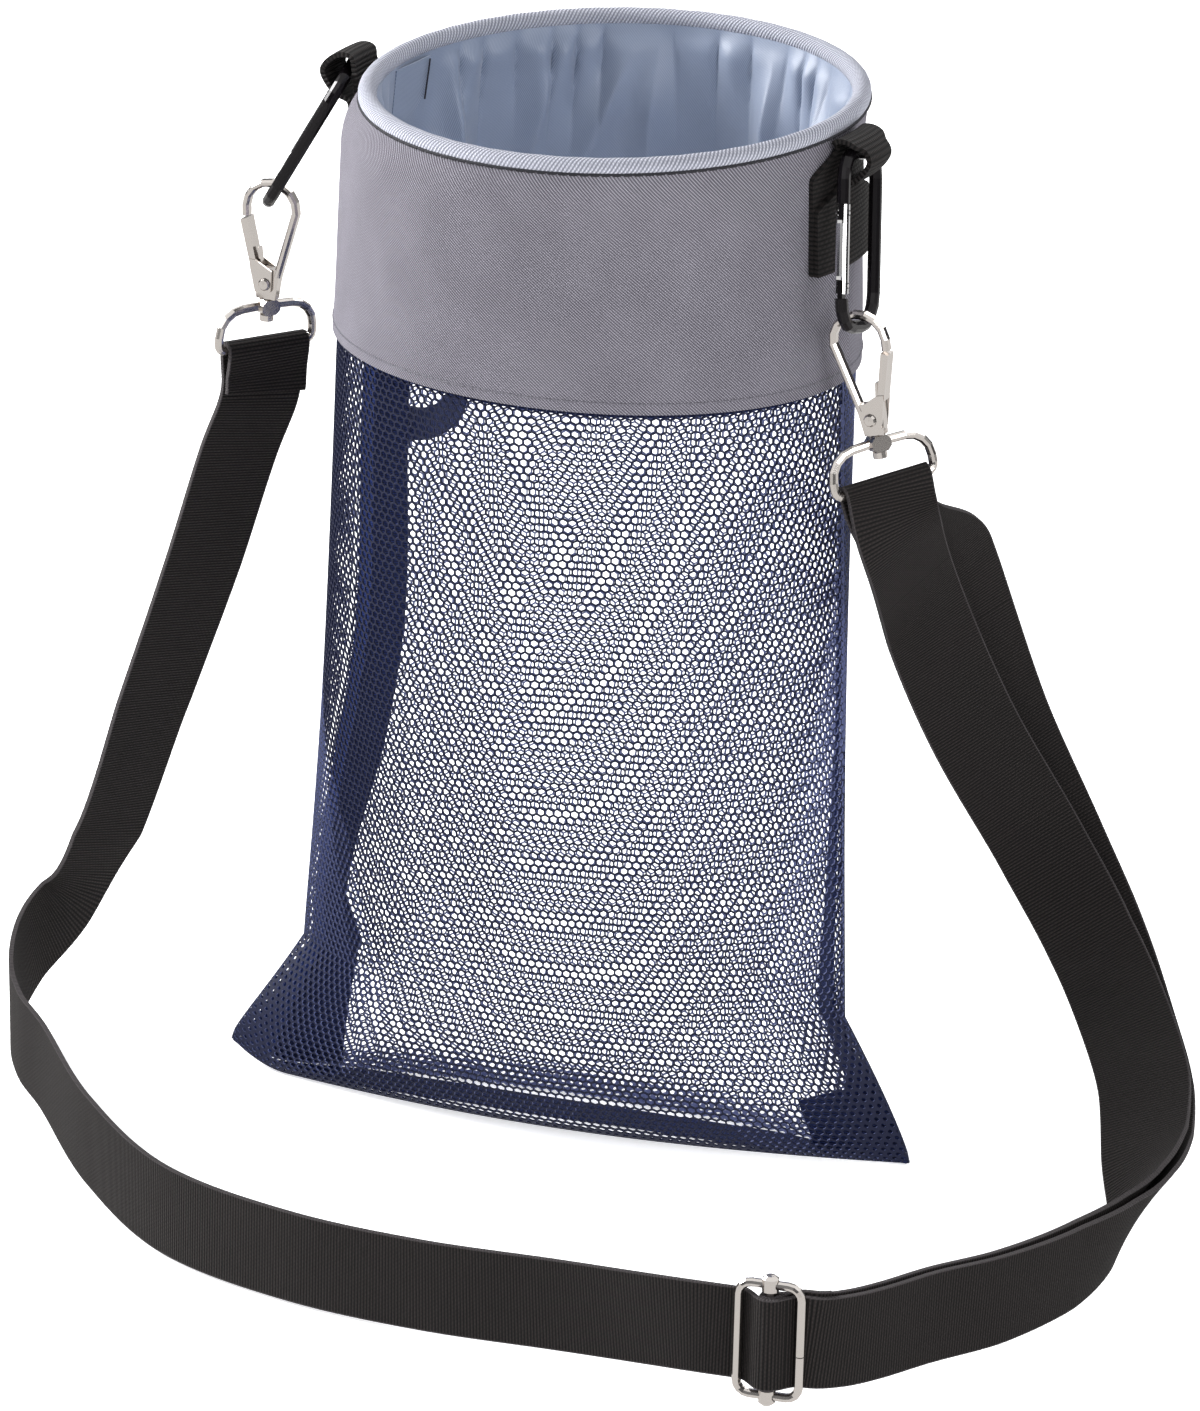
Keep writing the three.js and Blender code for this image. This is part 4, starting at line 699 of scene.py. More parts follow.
def come_line(distance):
    """The return layer as it nears the bar"""
    place, look, across = at(distance)
    near = smooth((distance - SLIDER_AT - COME_TO) / (EDGE - COME_TO), 0, 1)
    return place + look * lerp(WRAP - FRAME_OFF, 2 * LAYER, near)[:, None], across


def stub_line(distance):
    """The stub after the bar, between the long run and the return layer"""
    slope = (hump(distance + SLOPE_STEP) - hump(distance - SLOPE_STEP)) / (2 * SLOPE_STEP)
    long = np.hypot(1, slope)
    place, look, across = at(distance - LAYER * slope / long)
    raised = STUB_RAISE * smooth(distance - SLIDER_AT, STUB_RAISE_FROM, STUB_RAISE_TO)
    return place + look * (hump(distance) + LAYER / long)[:, None] - across * raised[:, None], across


def bar_loop():
    _, look, across = at(np.array([SLIDER_AT]))
    come, come_across = come_line(np.linspace(SLIDER_AT + BAR_REACH, SLIDER_AT + COME_TO, COME_POINTS))
    turn_by = np.linspace(0, math.pi, HALF_TURN_POINTS)
    out = look * np.cos(turn_by)[:, None] - along_slider * np.sin(turn_by)[:, None]
    go, go_across = stub_line(np.linspace(SLIDER_AT + GO_FROM, SLIDER_AT + BAR_REACH, GO_POINTS))
    line = np.vstack([come, slider_place - look * FRAME_OFF + out * WRAP, go])
    sides = np.vstack([come_across, np.repeat(across, HALF_TURN_POINTS, 0), go_across])
    return ribbon("strap_bar_loop", line, sides)


loop_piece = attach(webbed(bar_loop()), "slider_bar")
low, high = SLIDER_AT + BAR_REACH, SLIDER_AT + EDGE
off_bar = webbed(joined([stretch("run", run_line, low, high)[0],
                         stretch("come", come_line, low, high)[0],
                         stretch("stub", stub_line, low, high)[0]], "strap_off_bar"))
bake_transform(off_bar)
leave = webbed(joined([stretch("run", run_line, high, LEAVE)[0],
                       stretch("back", return_line, high, LEAVE)[0],
                       stretch("stub", stub_line, high, SLIDER_AT + STUB)[0]], "strap_from_slider"))
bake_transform(leave)
print("pieces at the slider", loop_piece.name, off_bar.name, leave.name)

# %% [markdown]
# A strap like this can be coiled or laid another way. Here only the length of each of the three long
# stretches is measured, and the imported model's plain strap solids are hidden.

# %% Cords
def declare_cord(path):
    run = float(np.sum(np.linalg.norm(np.diff(path, axis=0), axis=1))) * MM
    return run


long_length = declare_cord(left_path)
right_length = declare_cord(right_path)
back_length = declare_cord(back_path)
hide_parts("strap_left", "strap_front")
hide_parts("strap_right")
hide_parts("strap_return")
print("cords, m:", round(long_length, 3), round(right_length, 3), round(back_length, 3))

# %% [markdown]
# ## The collar
# The collar is a tall ring of woven cloth, a little wider at its foot from side to side than at the
# rim. Its mouth is not level: the rim stands higher at the back and on the right, and on the left the
# cloth rounds over a shoulder before it meets the piping. A plain cylinder would look like tin, so
# soft dents run round it.

# %% Collar
RIM_Z, RIM_SHIFT, RIM_X, RIM_Y, RIM_TUBE = 346.6, 4.0, 77.5, 78.3, 3.0
LIFT_EVEN, LIFT_RIGHT, LIFT_BACK = 2.2, 1.5, 2.0
COLLAR_FOOT, COLLAR_TOP, NET_TOP = 266.0, 343.3, 276.0
FOOT_HALF_X, TOP_HALF_X, FOOT_HALF_Y, TOP_HALF_Y = 86.0, 82.4, 72.5, 81.1
COLLAR_ROUND, COLLAR_TALL, COLLAR_THICK = 500.0, 80, 1.2
SHOULDER_FROM, SHOULDER_CURVE = 0.78, 2.2
TUCK_IN, TUCK_DOWN = 0.45, 1.6
WIDE_DENT, NARROW_DENT, DENT_EVEN = 0.6, 0.4, 0.3
ROUND_STEPS = 240


def rim_line(angle, grow=0.0):
    """The middle line of the piping, or a line beside it"""
    lift = LIFT_EVEN + LIFT_RIGHT * np.cos(angle) + LIFT_BACK * np.sin(angle)
    x, y = RIM_SHIFT + (RIM_X + grow) * np.cos(angle), (RIM_Y + grow) * np.sin(angle)
    return np.c_[x, y, RIM_Z + lift]


def collar_halves(z, inset=0.0):
    rise = (z - COLLAR_FOOT) / (COLLAR_TOP - COLLAR_FOOT)
    return lerp(FOOT_HALF_X, TOP_HALF_X, rise) - inset, lerp(FOOT_HALF_Y, TOP_HALF_Y, rise) - inset


def dents(angle, rise):
    wide = WIDE_DENT * np.sin(3 * angle + 1.1)
    narrow = NARROW_DENT * np.sin(7 * angle + 4 * rise)
    return np.sin(math.pi * np.clip(rise, 0, 1)) * (wide + narrow - DENT_EVEN)


def around_collar(angle, rise, inset=0.0):
    """A place on the collar's face, by the angle and the share of its height"""
    rim = rim_line(angle, RIM_TUBE - TUCK_IN)
    length, depth = collar_halves(lerp(COLLAR_FOOT, COLLAR_TOP, rise), inset)
    dent = dents(angle, rise)
    shoulder = np.clip((rise - SHOULDER_FROM) / (1 - SHOULDER_FROM), 0, 1) ** SHOULDER_CURVE
    x = lerp((length + dent) * np.cos(angle), rim[:, 0], shoulder)
    y = lerp((depth + dent) * np.sin(angle), rim[:, 1], shoulder)
    return np.c_[x, y, lerp(COLLAR_FOOT, rim[:, 2] - TUCK_DOWN, rise)]


def collar_place(u, v):
    return around_collar(2 * math.pi * u, v), np.c_[u * COLLAR_ROUND, v * COLLAR_TALL]


collar = grid_piece("collar_cloth", ROUND_STEPS, 28, collar_place, COLLAR_THICK, ring=True)
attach(dress(collar, collar_grey), "bag")
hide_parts("collar_outer")
print("collar points", len(collar.data.vertices))

# %% [markdown]
# A row of stitches holds the collar to the net just above its lower edge, and a dark seam lies under
# the piping: a continuous dark wire in its crease, which is painted shade, with stitches over it.
# Stitches could be painted on, but a short wire for each one stands up and casts a shadow.

# %% Stitches of the collar
HEM_RISE, HEM_OUT, HEM_COUNT, HEM_LONG, HEM_THREAD = 0.045, 0.05, 170, 2.1, 0.28
GROOVE_IN, GROOVE_DOWN, CREASE_SHADE_WIRE = 0.2, 1.5, 0.4
RIM_COUNT, RIM_LONG, RIM_THREAD, RIM_STITCH_DOWN = 150, 2.4, 0.5, 0.15
STITCH_SHAPE = np.array([-0.5, -0.25, 0.25, 0.5])


def tube_piece(name, path, radius, closed=False, sides=4):
    """A round wire along a path, by a curve that is turned into a mesh"""
    curve = bpy.data.curves.new(name, "CURVE")
    curve.dimensions = "3D"
    curve.bevel_depth = radius * MM
    curve.bevel_resolution = sides
    curve.use_fill_caps = not closed
    line = curve.splines.new("POLY")
    line.points.add(len(path) - 1)
    line.points.foreach_set("co", np.c_[np.asarray(path) * MM, np.ones(len(path))].ravel())
    line.use_cyclic_u = closed
    obj = bpy.data.objects.new(name, curve)
    bpy.context.collection.objects.link(obj)
    only(obj)
    bpy.ops.object.convert(target="MESH")
    obj = bpy.context.object
    bpy.ops.object.shade_smooth()
    return obj


def stitches(name, path, count, length, radius, material, closed=True):
    """A dashed seam: short thread segments along a path"""
    path = np.vstack([path, path[:1]]) if closed else path
    run = lengths_along(path)
    made = []
    for i in range(count):
        ends = (i + 0.5) / count * run[-1] + STITCH_SHAPE * length
        made.append(tube_piece("stitch", between(ends, run, path), radius, sides=1))
    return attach(dress(joined(made, name), material), "bag")


ring_angle = np.linspace(0, 2 * math.pi, 361)[:-1]
hem_path = around_collar(ring_angle, np.full(len(ring_angle), HEM_RISE), -HEM_OUT)
hem = stitches("collar_hem_stitches", hem_path, HEM_COUNT, HEM_LONG, HEM_THREAD, thread_grey)
seam_path = rim_line(ring_angle, RIM_TUBE - GROOVE_IN) - np.array([0, 0, GROOVE_DOWN])
# Painted shade: a continuous dark wire stands for the shadow in the crease under the piping.
rim_crease_shade = tube_piece("piping_crease_painted_shade", seam_path, CREASE_SHADE_WIRE, closed=True, sides=2)
dress(rim_crease_shade, dark_thread_and_crease_shade)
stitches("piping_seam_stitches", seam_path + np.array([0, 0, -RIM_STITCH_DOWN]), RIM_COUNT, RIM_LONG,
         RIM_THREAD, dark_thread_and_crease_shade)
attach(rim_crease_shade, "bag")
print("hem faces", len(hem.data.polygons))

# %% [markdown]
# ## Piping
# The piping is a tape rolled over a wire hoop and open along its underside, where the collar and the
# lining go in. A torus would give the same outline, but it has no open side. The hoop inside keeps
# the mouth round.

# %% Piping
ROLL_HALF, PIPING_THICK, PIPING_ROUND = math.radians(145), 1.0, 490
PUCKER, PUCKERS, PUCKER_ROWS = 0.06, 40, 5
HOOP_WIRE = 1.2


def piping_place(u, v):
    angle = 2 * math.pi * u
    roll = lerp(-ROLL_HALF, ROLL_HALF, v)
    radius = RIM_TUBE + PUCKER * np.sin(PUCKERS * angle) * np.sin(PUCKER_ROWS * roll)
    out = unit(np.c_[RIM_Y * np.cos(angle), RIM_X * np.sin(angle), np.zeros_like(angle)])
    points = rim_line(angle) + out * (radius * np.sin(roll))[:, None]
    points[:, 2] += radius * np.cos(roll)
    return points, np.c_[u * PIPING_ROUND, roll * RIM_TUBE]


piping = grid_piece("rolled_piping", ROUND_STEPS, 20, piping_place, PIPING_THICK, offset=1.0, ring=True)
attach(dress(piping, piping_grey), "bag")
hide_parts("rim_piping")
hoop = tube_piece("mouth_hoop", rim_line(ring_angle), HOOP_WIRE, closed=True, sides=3)
dress(hoop, hoop_steel)
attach(hoop, "bag")
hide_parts("rim_hoop")
print("piping points", len(piping.data.vertices))

# %% [markdown]
# ## Lining
# The lining is a satin tube that is wider than the rim, so it is gathered: small puffs stand under
# the rim, and long folds open out below and die away before the foot. A cloth simulation could make
# them, but it is hard to steer, so a seeded number gives each fold its place and size instead.

# %% Gathers
PUFFS, FOLDS = 36, 19
PUFF_HIGH, PUFF_TOP, PUFF_DEEP = 5.4, 0.09, 0.3
FOLD_WIDE, FOLD_NARROW = 0.17, 0.045
TAB_FROM, TAB_TO, TAB_LONG = 2.9, 3.16, 0.24
chance = np.random.default_rng(11)
fold_at = (np.arange(FOLDS) + chance.uniform(-0.42, 0.42, FOLDS)) * 2 * math.pi / FOLDS
fold_high = chance.uniform(4.5, 10.0, FOLDS)
fold_lean = chance.uniform(-0.42, 0.42, FOLDS)
fold_foot = chance.uniform(-0.1, 0.3, FOLDS)


def gathers(angle, rise):
    """How far the lining stands inward, in millimetres: puffs under the rim and long folds below"""
    down = 1 - rise
    wander = angle + 0.08 * np.sin(5 * angle + 1) + 0.04 * np.sin(11 * angle + 2)
    uneven = 0.6 + 0.4 * np.sin(6 * angle + 0.5) * np.sin(9 * angle + 3 * down)
    puff = np.abs(np.sin(PUFFS / 2 * (wander + 0.1 * down))) ** 0.6 * uneven
    total = PUFF_HIGH * puff * smooth(down, 0, PUFF_TOP) * np.exp(-(down / PUFF_DEEP) ** 2)
    for place, high, lean, foot in zip(fold_at, fold_high, fold_lean, fold_foot):
        away_by = (angle - place - lean * down + math.pi) % (2 * math.pi) - math.pi
        width = lerp(FOLD_WIDE, FOLD_NARROW, rise ** 1.5)
        grown = smooth(rise, foot, foot + 0.4) * smooth(down, 0.02, 0.35)
        total += high * grown * np.exp(-np.abs(away_by / width) ** 1.4)
    by_tab = (angle - (TAB_FROM + TAB_TO) / 2) / (TAB_TO - TAB_FROM)
    return total * (1 - np.exp(-by_tab ** 4) * smooth(rise, 0.4, 0.7))


print("folds", FOLDS, "highest, mm:", round(float(fold_high.max()), 1))

# %% Lining
LINING_HALF_X, LINING_HALF_Y, LINING_FOOT = 81.0, 67.8, 264.5
LINING_ROUND, LINING_TALL, LINING_THICK = 530, 85, 0.5
LINING_IN, LINING_DOWN, LINING_SAG = 0.3, 1.5, 1.6


def lining_points(angle, rise, fold):
    sag = np.maximum(0, LINING_SAG * np.sin(math.pi * rise) * np.sin(2 * angle + 0.6))
    top = rim_line(angle, LINING_IN - RIM_TUBE) - np.array([0, 0, LINING_DOWN])
    x = lerp(LINING_HALF_X * np.cos(angle), top[:, 0], rise) - (fold + sag) * np.cos(angle)
    y = lerp(LINING_HALF_Y * np.sin(angle), top[:, 1], rise) - (fold + sag) * np.sin(angle)
    return np.c_[x, y, lerp(LINING_FOOT, top[:, 2], rise)]


def lining_place(u, v):
    angle, rise = 2 * math.pi * u, 1 - v
    return lining_points(angle, rise, gathers(angle, rise)), np.c_[u * LINING_ROUND, rise * LINING_TALL]


lining = grid_piece("satin_lining", 3 * ROUND_STEPS, 40, lining_place, LINING_THICK, ring=True)
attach(dress(lining, satin), "bag")
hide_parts("collar_lining")
print("lining points", len(lining.data.vertices))

# %% [markdown]
# Two small pieces finish the inside: a short tab where the lining's ends overlap, held by a row of
# stitches, and a tape over the seam between collar and net.

# %% Tab and seam tape inside
TAB_TOP, TAB_NEAR, TAB_FAR, TAB_BULGE, TAB_THICK = 0.99, 1.5, 0.4, 0.8, 0.6
TAB_WIDE_MM, TAB_LONG_MM = 20, 24
TAB_STITCH_AT, TAB_STITCH_IN, TAB_COUNT, TAB_STITCH_LONG, TAB_THREAD = 0.1, 0.985, 8, 1.9, 0.3
TAPE_LOW, TAPE_HIGH, TAPE_IN, TAPE_THICK, TAPE_ROUND, TAPE_TALL = 263.8, 276.0, 3.6, 1.0, 480, 12


def tab_place(u, v):
    """The overlap where the lining's ends are joined, a short tab under the rim"""
    angle, long = lerp(TAB_FROM, TAB_TO, u), TAB_LONG * (1 - 0.4 * (1 - u) ** 3)
    stands = lerp(TAB_NEAR, TAB_FAR, u) + TAB_BULGE * np.sin(math.pi * u)
    return lining_points(angle, TAB_TOP - long * v, stands), np.c_[u * TAB_WIDE_MM, v * TAB_LONG_MM]


def seam_tape_place(u, v):
    angle, z = 2 * math.pi * u, lerp(TAPE_LOW, TAPE_HIGH, v)
    length, depth = collar_halves(np.maximum(z, COLLAR_FOOT), TAPE_IN)
    return np.c_[length * np.cos(angle), depth * np.sin(angle), z], np.c_[v * TAPE_TALL, u * TAPE_ROUND]


tab = grid_piece("lining_join_tab", 12, 16, tab_place, TAB_THICK)
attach(dress(tab, satin), "bag")
tab_down = np.linspace(0.03, 1, 20)
tab_edge = tab_place(np.full(len(tab_down), TAB_STITCH_AT), tab_down)[0]
tab_edge[:, :2] *= TAB_STITCH_IN
stitches("lining_join_stitches", tab_edge, TAB_COUNT, TAB_STITCH_LONG, TAB_THREAD, dark_thread_and_crease_shade,
         closed=False)
seam_tape = grid_piece("collar_seam_binding", 160, 3, seam_tape_place, TAPE_THICK, ring=True)
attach(dress(seam_tape, tape_navy), "bag")
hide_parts("collar_seam_tape")
print("seam tape points", len(seam_tape.data.vertices))

# %% [markdown]
# ## The net
# The net is real: six-sided cells of thread with open middles, so the back of the bag shows through
# the front. The bag's shape comes first: an oval under the collar that flattens to a slim lens with
# pointed corners at the base, turned a little against the collar. The left seam lies a little behind
# the end of the oval.

# %% Shape of the bag
FOOT_HALF, FOOT_DEPTH, DEPTH_CURVE, NET_IN = 92.0, 13.0, 0.45, 1.5
EAR_OUT, EAR_HEIGHT, EAR_CURVE, EAR_LIFT = 22.0, 48.0, 1.2, 8.0
POINT_CURVE, FOOT_TURN, LEFT_LEAN = 1.5, math.radians(5), 6.5
SEAM_HALF_GAP = 0.45
SEAM_BACK_LOW, SEAM_BACK_HIGH = 0.27, 0.15


def net_section(z):
    """Half length, half depth, sharpness of the ends and turn of the section at a height"""
    rise = z / NET_TOP
    top_length, top_depth = collar_halves(NET_TOP, NET_IN)
    corner = np.maximum(0, 1 - (z / EAR_HEIGHT) ** EAR_CURVE)
    length = lerp(FOOT_HALF, top_length, rise) + EAR_OUT * corner
    depth = lerp(FOOT_DEPTH, top_depth, rise ** DEPTH_CURVE)
    return length, depth, np.maximum(1 - rise, 0) ** POINT_CURVE, FOOT_TURN * (1 - rise)


def turned(x, y, z, turn_by):
    """A place in the section, leaning to the left, with the left ear lifted, and turned"""
    lift = EAR_LIFT * (np.maximum(0, -x - FOOT_HALF) / EAR_OUT) ** 2
    x = x - LEFT_LEAN * (1 - z / NET_TOP) * (0.5 - 0.5 * np.clip(x / FOOT_HALF, -1, 1))
    turned_x = x * np.cos(turn_by) - y * np.sin(turn_by)
    return np.c_[turned_x, x * np.sin(turn_by) + y * np.cos(turn_by), z + lift]


def seam_back(z):
    """How far the left seam lies behind the left end of the section, as an angle"""
    return SEAM_BACK_LOW * smooth(z, 40, 150) - SEAM_BACK_HIGH * smooth(z, 150, 250)


def section_curve(angle, z, inset=0.0):
    """A half section: x, y as a distance from the middle plane, and the angle where it starts"""
    length, depth, point, _ = net_section(z)
    start = np.arcsin(np.clip((SEAM_HALF_GAP / depth) ** (1 / (1 + point)), 0, 1))
    x = (length - inset * (1 + 3 * point)) * np.cos(angle) / np.cos(start)
    swing = np.sin(angle)
    return x, (depth - inset) * np.sign(swing) * np.abs(swing) ** (1 + point), start


print("half length at the base, mm:", round(float(net_section(np.zeros(1))[0][0]), 1))

# %% [markdown]
# The cells have to stay even where the section bends sharply, so a table finds, for rows up the bag,
# the angles that lie at even steps of cloth. A place on a panel is then read off by its share across
# the cloth and its height, with a soft slack and ripple as the cloth hangs between its seams.

# %% Even steps of cloth
TABLE_ROWS, TABLE_COLUMNS, TABLE_POINTS = 70, 121, 900
SLACK_EVEN, SLACK_RIPPLE = 0.9, 0.55


def angle_table(face):
    """The angles at even steps of cloth across a panel, row by row up the bag"""
    rows = []
    for z in np.linspace(0, NET_TOP, TABLE_ROWS):
        start = section_curve(np.zeros(1), np.array([z]))[2][0]
        angles = np.linspace(start, math.pi - start - face * seam_back(z), TABLE_POINTS)
        x, y, _ = section_curve(angles, np.full(TABLE_POINTS, z))
        run = np.r_[0, np.cumsum(np.hypot(np.diff(x), np.diff(y)))]
        rows.append(np.interp(np.linspace(0, run[-1], TABLE_COLUMNS), run, angles))
    return np.array(rows)


angle_tables = {face: angle_table(face) for face in (-1, 1)}


def net_angle(share, z, face):
    row = np.clip(z / NET_TOP, 0, 1) * (TABLE_ROWS - 1)
    column = np.clip(share, 0, 1) * (TABLE_COLUMNS - 1)
    i = np.minimum(row.astype(int), TABLE_ROWS - 2)
    j = np.minimum(column.astype(int), TABLE_COLUMNS - 2)
    table, low, side = angle_tables[face], row - i, column - j
    lower = lerp(table[i, j], table[i, j + 1], side)
    return lerp(lower, lerp(table[i + 1, j], table[i + 1, j + 1], side), low)


def net_points(share, z, face, inset=0.0):
    """Places on the front (-1) or back (1) panel"""
    rise = z / NET_TOP
    slack = np.sin(math.pi * share) ** 2 * np.sin(math.pi * np.clip(rise, 0, 1))
    ripple = 1.1 * np.sin(9 * share * math.pi + 2.5 * rise + face) + 0.8 * np.sin(17 * share + 9 * rise)
    ripple += 0.9 * np.sin(12 * rise - 5 * share + 2 * face)
    inset = inset + slack * (SLACK_EVEN - SLACK_RIPPLE * ripple)
    x, y, _ = section_curve(net_angle(share, z, face), z, inset)
    return turned(x, face * y, z, net_section(z)[3])


def net_heights():
    """Heights of points that are evenly spaced up the middle of a panel"""
    z = np.linspace(0, NET_TOP, 800)
    return lengths_along(net_points(np.full(800, 0.5), z, -1)), z


net_run, net_z = net_heights()
print("cloth up the middle, mm:", round(float(net_run[-1]), 1))

# %% [markdown]
# Each cell is a six-sided ring of thread: an outer outline that it shares with its neighbours, and a
# smaller hole. A grid primitive has no six-sided cells, and copying one ring thousands of times would
# leave gaps on the curved panels, so the mesh is built from its corners. Solidify gives the thread
# its thickness. Where the cloth is pulled together, in the corners and along the hem, holes close up.

# %% Net
CELL_ROW, NET_CELLS, THREAD_THICK = 2.4, 80, 0.55
HOLE_SHARE, HOLE_IN_EARS, EAR_TOP, EAR_WIDE = 0.815, 0.5, 75.0, 0.12
HEM_TALL, HEM_FADE, EAR_GAIN = 7.0, 6.0, 1.5
HEXAGON = ((0, 2), (1, 1), (1, -1), (0, -2), (-1, -1), (-1, 1))
NET_ROWS = int(net_run[-1] / CELL_ROW)


def hole_share(share, z):
    """Open holes on the panels, narrow ones where the cloth is pulled together"""
    ear = smooth(EAR_WIDE - np.minimum(share, 1 - share), 0, EAR_WIDE) * smooth(EAR_TOP - z, 0, EAR_TOP)
    hem_share = smooth(HEM_TALL - z, 0, HEM_FADE)
    return lerp(HOLE_SHARE, HOLE_IN_EARS, np.clip(EAR_GAIN * ear + hem_share, 0, 1))


def height_at(rows):
    return np.interp(rows / 3 * CELL_ROW, net_run, net_z)


def net_piece(name, face, first, last):
    """Rows of cells, laid out flat with cells 2 wide and rows 3 apart, then wrapped on the panel"""
    middles = [(2 * i + 1 - j % 2, 3 * j + 2)
               for j in range(first, last) for i in range(NET_CELLS + j % 2)]
    ring = np.array(middles, float)[:, None] + np.array(HEXAGON, float)
    ring[:, :, 0] = np.clip(ring[:, :, 0], 0, 2 * NET_CELLS)
    middle = ring.mean(1, keepdims=True)
    open_by = hole_share(middle[:, 0, 0] / (2 * NET_CELLS), height_at(middle[:, 0, 1]))
    hole = middle + (ring - middle) * open_by[:, None, None]
    corners, owner = np.unique(ring.reshape(-1, 2), axis=0, return_inverse=True)
    owner = owner.reshape(-1, 6)
    flat = np.vstack([corners, hole.reshape(-1, 2)])
    inner = len(corners) + np.arange(len(ring) * 6).reshape(-1, 6)
    following = np.roll(np.arange(6), -1)
    faces = np.stack([owner, owner[:, following], inner[:, following], inner], -1).reshape(-1, 4)
    if face > 0:
        faces = faces[:, ::-1]
    points = net_points(flat[:, 0] / (2 * NET_CELLS), height_at(flat[:, 1]), face)
    mesh = bpy.data.meshes.new(name)
    mesh.from_pydata((points * MM).tolist(), [], faces.tolist())
    obj = bpy.data.objects.new(name, mesh)
    bpy.context.collection.objects.link(obj)
    apply_modifier(obj, "SOLIDIFY", thickness=THREAD_THICK * MM, offset=-1.0)
    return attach(dress(obj, net_thread), "bag")


half_way = NET_ROWS // 2
for label, face in (("front", -1), ("back", 1)):
    low = net_piece(f"net_{label}_lower", face, 0, half_way)
    high = net_piece(f"net_{label}_upper", face, half_way, NET_ROWS)
    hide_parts(f"mesh_{label}_panel")
    print(label, "net faces", len(low.data.polygons), len(high.data.polygons))

# %% [markdown]
# ## Seams of the net
# The side seams stand inside the bag as folded allowances. The left one looks across the bag, with a
# satin ribbon along the seam, and grows wider in the corner below. The right one lies flat against
# the back panel and stands up only low in its corner. Strips that follow the bag's own shape keep
# clear of the net, which a straight strip would cut.

# %% Side seams
FIN_WIDE, RIBBON_WIDE, FIN_OVERLAP, RIBBON_FROM = 16.0, 5.5, 0.4, 0.6
FIN_THICK, RIBBON_THICK, FIN_STEPS = 1.0, 0.8, 90
FIN_LOW, FIN_HIGH, FIN_IN, FIN_SLOPE = 1.4, 262.0, 0.8, 0.25
EAR_FLAP, EAR_FLAP_GAIN, FIN_WAIST, WAIST_BELOW, WAIST_FADE = 62.0, 1.5, 0.35, 120, 60
RIGHT_FLAP, RIGHT_WIDE, RIGHT_FLAP_WIDE, RIGHT_FLAP_FADE = 24.0, 10.0, 31.0, 9
RIGHT_UPRIGHT, RIGHT_IN, RIGHT_UV = 14, 1.3, 12


def left_seam(z):
    x, y, _ = section_curve(math.pi + seam_back(z), z, FIN_IN)
    return x, -y


def left_fin(low, high, slope):
    """A strip of the left allowance, between two distances from the seam"""
    def place(u, v):
        z = lerp(FIN_LOW, FIN_HIGH, u)
        x, y = left_seam(z)
        waist = FIN_WAIST * smooth(WAIST_BELOW - z, 0, WAIST_FADE)
        wide = 1.0 - waist + EAR_FLAP_GAIN * np.clip(1 - z / EAR_FLAP, 0, 1)
        out = lerp(low, high, v) * wide
        wander = 0.9 * np.sin(z / 21.0) * out / FIN_WIDE + slope * np.maximum(out - RIBBON_WIDE, 0)
        return turned(x + out, y + wander, z, net_section(z)[3]), np.c_[z, out]
    return place


def right_fin_place(u, v):
    z = lerp(FIN_LOW, FIN_HIGH, u)
    flat = net_points(lerp(0.004, 0.05, v), z, 1, RIGHT_IN)
    wide = lerp(RIGHT_WIDE, RIGHT_FLAP_WIDE, smooth(RIGHT_FLAP - z, 0, RIGHT_FLAP_FADE))
    upright = turned(net_section(z)[0] - 1.0 - v * wide, 0.5 * np.sin(z / 9.0), z, net_section(z)[3])
    in_ear = smooth(RIGHT_FLAP + RIGHT_UPRIGHT - z, 0, RIGHT_UPRIGHT)[:, None]
    return lerp(flat, upright, in_ear), np.c_[z, v * RIGHT_UV]


fin = grid_piece("seam_allowance_left", FIN_STEPS, 6,
                 left_fin(RIBBON_WIDE - FIN_OVERLAP, FIN_WIDE, FIN_SLOPE), FIN_THICK, offset=0.0)
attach(dress(fin, tape_navy), "bag")
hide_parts("side_seam_left")
edge_ribbon = grid_piece("seam_ribbon_left", FIN_STEPS, 4, left_fin(RIBBON_FROM, RIBBON_WIDE, 0.0),
                         RIBBON_THICK, offset=0.0)
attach(dress(edge_ribbon, ribbon_navy), "bag")
right_fin = grid_piece("seam_allowance_right", FIN_STEPS, 6, right_fin_place, FIN_THICK, offset=0.0)
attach(dress(right_fin, tape_navy), "bag")
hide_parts("side_seam_right")
print("side seam points", len(fin.data.vertices), len(right_fin.data.vertices))

# %% [markdown]
# A loose end of tape curls out from the top of the left seam, along a small route like the strap's.
# Another tape closes the bottom seam from corner to corner and lies flat on the floor.

# %% Tape tail and bottom binding
TAIL_WIDE, TAIL_THICK, TAIL_STEPS = 11.0, 0.8, 12
TAIL_HEIGHT, TAIL_CLEAR, TAIL_SLANT, TAIL_TILT = 250.0, 3.0, 0.25, 0.7
TAIL = [(-3, 257), (7, 254), (14.5, 248), (17, 239), (13, 230.5), (5, 225), (-4, 223)]
BASE_HALF_WIDE, BASE_MIN_HALF, BASE_MARGIN, BASE_END, BASE_LONG = 6.5, 1.0, 1.9, 1.0, 230

seam_x, seam_y = left_seam(np.array([TAIL_HEIGHT]))
fin_edge, fin_back = FIN_WIDE + seam_x[0], seam_y[0] + TAIL_CLEAR
tail_rows = [((fin_edge + x, fin_back - TAIL_SLANT * x, z), (0, -1, 0)) for x, z in TAIL]
_, tail_line, tail_look, tail_across = route_table(tail_rows, TAIL_STEPS)
tail_tilted = unit(tail_across + TAIL_TILT * tail_look)
tail = ribbon("tape_tail", tail_line, tail_tilted, width=TAIL_WIDE, thick=TAIL_THICK)
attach(dress(tail, tape_navy), "bag")
print("left fin edge, mm:", round(float(fin_edge), 1))


